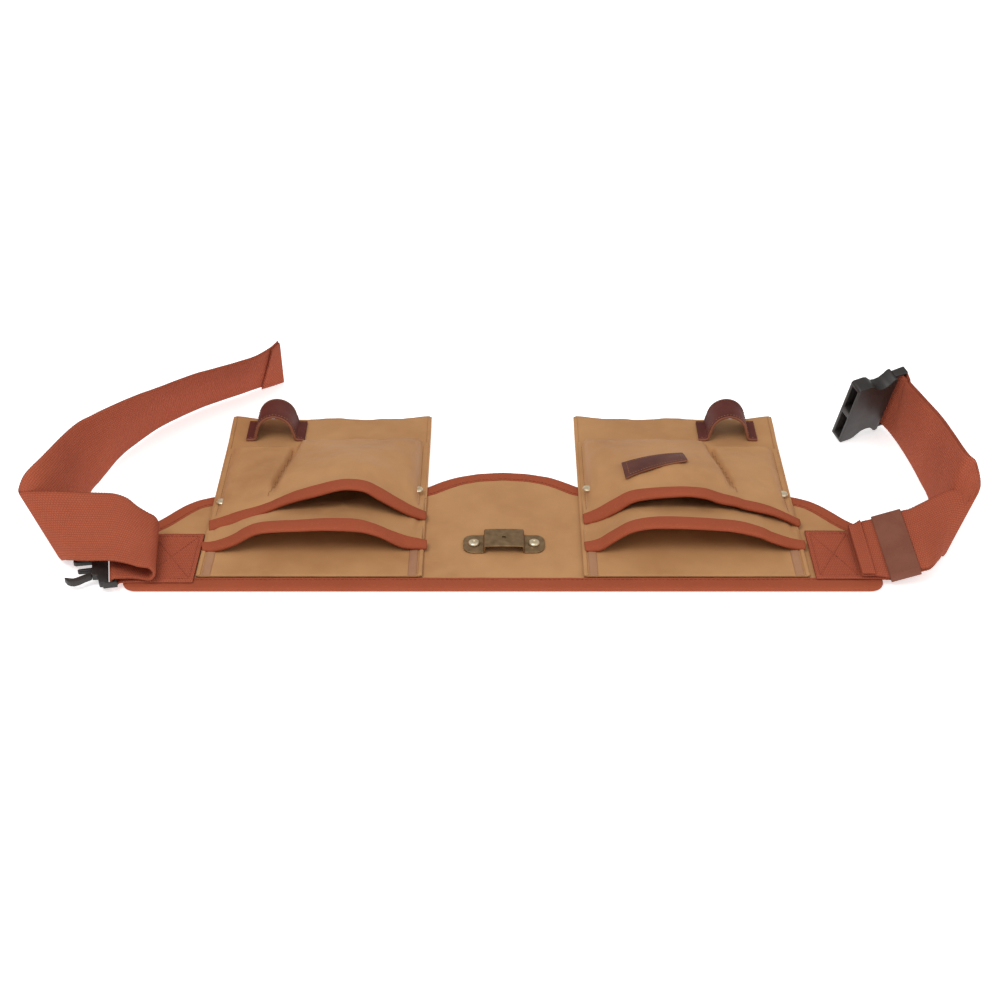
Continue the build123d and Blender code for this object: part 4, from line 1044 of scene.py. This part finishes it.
L = 21.5 / 2
loops_ = [(-L + 0.25, 0.0), (-L, 0.3), (-L, 0.95), (-L + 0.3, 1.2)] + [(x, 1.22) for x in np.linspace(-L + 1.2, L - 1.2, 14)]
loops_ += [(L - 0.3, 1.2), (L, 0.95), (L, 0.3), (L - 0.25, 0.0)] + [(x, 0.0) for x in np.linspace(L - 1.2, -L + 1.2, 8)]
rings = []
for x, o_ in loops_:
    line = []
    for a, b2 in round_rect(hw + o_, hh + o_, 1.2 + o_):
        wob = 0.10 * fbm(x / 9, a / 9, 0, 12) if o_ > 1 else 0
        line.append(kc + KD * x + KW * a + KN * (b2 + (wob if b2 > 0 else -wob)))
    rings.append(line)
rings = np.array(rings)
nr_, nc_ = rings.shape[:2]
faces = [(i * nc_ + j, i * nc_ + (j + 1) % nc_, ((i + 1) % nr_) * nc_ + (j + 1) % nc_, ((i + 1) % nr_) * nc_ + j)
         for i in range(nr_) for j in range(nc_)]
finish_piece(orient(mesh_obj("keeper_leather_band", rings.reshape(-1, 3), faces, M_KEEP)), "keeper", "keeper_leather",
             "strap_keeper")


# ---- buckle halves ---------------------------------------------------------
def smooth_closed(pts, n=5):
    q = [pts[-1]] + list(pts) + [pts[0], pts[1]]
    c_ = catmull(np.array(q, float), n)
    return c_[n:-2 * n] if len(c_) > 3 * n else c_


def moulded(name, outline_pts, half_h, o, ex, ey, ez, bevel=0.9, z_mid=0.0, hollow=None, crown=0.0):
    """Moulding from a plan outline: straight walls, rounded edges, optional slots."""
    pts = outline_pts
    bm = bmesh.new()
    lo = [bm.verts.new((x * MM, y * MM, (z_mid - half_h) * MM)) for x, y in pts]
    f = bm.faces.new(lo)
    r = bmesh.ops.extrude_face_region(bm, geom=[f])
    vs = [g for g in r["geom"] if isinstance(g, bmesh.types.BMVert)]
    bmesh.ops.translate(bm, verts=vs, vec=(0, 0, 2 * half_h * MM))
    bmesh.ops.recalc_face_normals(bm, faces=bm.faces)
    me = bpy.data.meshes.new(name)
    bm.to_mesh(me)
    bm.free()
    ob = bpy.data.objects.new(name, me)
    bpy.context.scene.collection.objects.link(ob)
    for k, (bx, by, bz, x, y, z) in enumerate(hollow or []):
        cb = bmesh.new()
        bmesh.ops.create_cube(cb, size=1.0)
        bmesh.ops.scale(cb, verts=cb.verts, vec=(bx * MM, by * MM, bz * MM))
        bmesh.ops.translate(cb, verts=cb.verts, vec=(x * MM, y * MM, z * MM))
        cm = bpy.data.meshes.new("cut")
        cb.to_mesh(cm)
        cb.free()
        co = bpy.data.objects.new("cut", cm)
        bpy.context.scene.collection.objects.link(co)
        m_ = ob.modifiers.new("cut", "BOOLEAN")
        m_.operation, m_.object, m_.solver = "DIFFERENCE", co, "EXACT"
        apply_mods(ob)
        bpy.data.objects.remove(co)
    bv = ob.modifiers.new("edge", "BEVEL")
    bv.width, bv.segments, bv.limit_method, bv.angle_limit = bevel * MM, 3, "ANGLE", math.radians(35)
    bv.use_clamp_overlap = True
    apply_mods(ob)
    mw = Matrix(((ex[0], ey[0], ez[0], o[0] * MM), (ex[1], ey[1], ez[1], o[1] * MM), (ex[2], ey[2], ez[2], o[2] * MM), (0, 0, 0, 1)))
    ob.data.transform(mw)
    if mw.determinant() < 0:
        ob.data.flip_normals()
    ob.data.materials.clear()
    ob.data.materials.append(M_PLASTIC)
    for poly in ob.data.polygons:
        poly.use_smooth = True
    ob.data.set_sharp_from_angle(angle=math.radians(40))
    return ob


def rod(name, a, b_, r):
    """Moulded bar with rounded ends."""
    a, b_ = V(*a), V(*b_)
    d = unit(b_ - a)
    u = unit(np.cross(d, V(0.3, 0.2, 1)))
    w = np.cross(d, u)
    Lr = np.linalg.norm(b_ - a)
    rings = []
    for q, k in ((0, 0.3), (0.25, 0.75), (0.9, 1.0), (Lr * .25, 1.0), (Lr / 2, 1.0), (Lr * .75, 1.0), (Lr - 0.9, 1.0), (Lr - 0.25, 0.75), (Lr, 0.3)):
        rings.append([a + d * q + (u * math.cos(g) + w * math.sin(g)) * r * k for g in np.linspace(0, 2 * math.pi, 21)[:-1]])
    return swept(name, rings, M_PLASTIC)


# receiver
r_mid = REC_BAR + REC_W * 30
RY = np.cross(REC_N, REC_D)
half_o = [(8.5, 30.6), (10.5, 31.8), (12.5, 30.8), (15.0, 27.6), (18.0, 25.2), (22.0, 24.5), (26.0, 25.4), (29.0, 28.2),
          (31.5, 30.8), (34.5, 32.0), (43.5, 32.0), (45.0, 30.6)]
ol = [(x, y) for x, y in half_o] + [(x, -y) for x, y in half_o[::-1]]
shell = moulded("rec_shell", ol, 6.1, r_mid, REC_D, RY, REC_N, 1.3,
                hollow=[(14.0, 25.0, 7.2, 40.5, 15.6, 0), (14.0, 25.0, 7.2, 40.5, -15.6, 0), (17.0, 9.0, 20.0, 26.5, 0.0, 11.2)])
parts = [shell]
for sg in (-1, 1):
    arm_o = [(-2.2, 30.2), (-1.0, 29.9), (9.6, 29.4), (9.6, 32.0), (-1.0, 32.6), (-2.2, 32.2)]
    arm_o = [(x, sg * y) for x, y in arm_o]
    parts.append(moulded("rec_arm%d" % sg, arm_o, 3.4, r_mid, REC_D, RY, REC_N, 0.7))
parts.append(rod("rec_bar", r_mid - REC_W * 31.5, r_mid + REC_W * 31.5, 1.6))
finish_piece(join("buckle_receiver", parts), "receiver_half", "buckle_plastic", "receiver")

# plug and its two sprung arms
PY = V(PLUG_D[1], -PLUG_D[0], 0.0) * -1.0
PZ = V(0, 0, 1.0)
EY = unit(np.cross(PZ, PLUG_D))
fr = [(4.8, -32.4), (11.0, -31.2), (12.2, -22.0), (16.0, -21.6), (16.0, 21.6), (12.2, 22.0), (11.0, 31.2), (4.8, 32.4)]
parts = [moulded("pl_cross", fr, 2.4, BAR, PLUG_D, EY, PZ, 0.8)]
for sg in (-1, 1):
    parts.append(moulded("pl_rail%d" % sg, [(-1.4, sg * 31.6), (8.5, sg * 31.5), (8.5, sg * 33.2), (-1.4, sg * 33.2)], 2.3, BAR, PLUG_D, EY, PZ, 0.5))
    parts.append(moulded("pl_guide%d" % sg, [(14, sg * 10.9), (25.2, sg * 11.3), (26.2, sg * 12.5), (25.2, sg * 13.7), (14, sg * 14.1)], 1.8,
                         BAR, PLUG_D, EY, PZ, 0.6))
parts.append(moulded("pl_tongue", [(14, -3.5), (27.5, -3.2), (29, -2.0), (29, 2.0), (27.5, 3.2), (14, 3.5)], 1.8, BAR, PLUG_D, EY, PZ, 0.6))
parts.append(rod("pl_bar", BAR - PLUG_Q * 32.4, BAR + PLUG_Q * 32.4, 1.5))
finish_piece(join("buckle_plug", parts), "plug", "buckle_plastic", "left_plug")
arm_pts = [(16.2, 17.0), (16.2, 21.4), (18.5, 22.4), (21.0, 23.6), (25.0, 26.2), (28.5, 27.0), (31.0, 26.2), (33.0, 24.6), (35.0, 20.6),
           (34.2, 20.1), (32.2, 21.0), (28.8, 22.2), (27.0, 21.8), (25.0, 20.8), (21.0, 19.0)]
for which, sg in (("near", 1), ("far", -1)):
    arm = moulded("plug_arm_" + which, [(x, sg * y) for x, y in arm_pts], 2.1, BAR, PLUG_D, EY, PZ, 0.7)
    finish_piece(arm, "plug_%s_arm" % which, "buckle_plastic", "left_plug_arm_" + which)

# ---- floor, light, camera --------------------------------------------------
fm = Mat("pale_floor")
c_, x_, y_ = place(fm, False)
fm.l(fm.mix(noise_tex(fm, c_.outputs["Object"], 3.0), lin((252, 252, 252)), lin((250, 250, 250))), fm.b.inputs["Base Color"])
fm.b.inputs["Roughness"].default_value = 0.95
fm.b.inputs["Emission Color"].default_value = (1, 1, 1, 1)
fm.b.inputs["Emission Strength"].default_value = 0.55
me = bpy.data.meshes.new("floor")
bm = bmesh.new()
bmesh.ops.create_grid(bm, x_segments=1, y_segments=1, size=6.0)
bmesh.ops.translate(bm, verts=bm.verts, vec=(0, 0, -0.0006))
bm.to_mesh(me)
bm.free()
me.materials.append(fm.m)
floor = bpy.data.objects.new("floor", me)
bpy.context.scene.collection.objects.link(floor)

world = bpy.data.worlds.new("studio")
world.use_nodes = True
world.node_tree.nodes["Background"].inputs[0].default_value = (1.0, 0.99, 0.975, 1)
world.node_tree.nodes["Background"].inputs[1].default_value = 0.56
bpy.context.scene.world = world


def area(name, loc, target, size, power):
    d = bpy.data.lights.new(name, "AREA")
    d.energy, d.size, d.shape = power, size, "SQUARE"
    o_ = bpy.data.objects.new(name, d)
    o_.location = loc
    o_.rotation_mode = "QUATERNION"
    o_.rotation_quaternion = (Vector(target) - Vector(loc)).to_track_quat("-Z", "Y")
    bpy.context.scene.collection.objects.link(o_)


area("key", (-0.55, -0.55, 1.5), (0, 0.1, 0), 0.9, 12.0)
area("fill", (0.9, -0.5, 1.1), (0, 0.1, 0), 1.3, 4.6)

cam = bpy.data.cameras.new("camera")
cam.lens, cam.sensor_width = 62.6, 36.0
cam.clip_start, cam.clip_end = 0.01, 50
co = bpy.data.objects.new("camera", cam)
co.location = (-0.0021, -0.9812, 0.7272)
co.rotation_euler = (math.radians(56.5), 0, 0)
bpy.context.scene.collection.objects.link(co)
bpy.context.scene.camera = co
bpy.context.scene.view_settings.view_transform = "Standard"
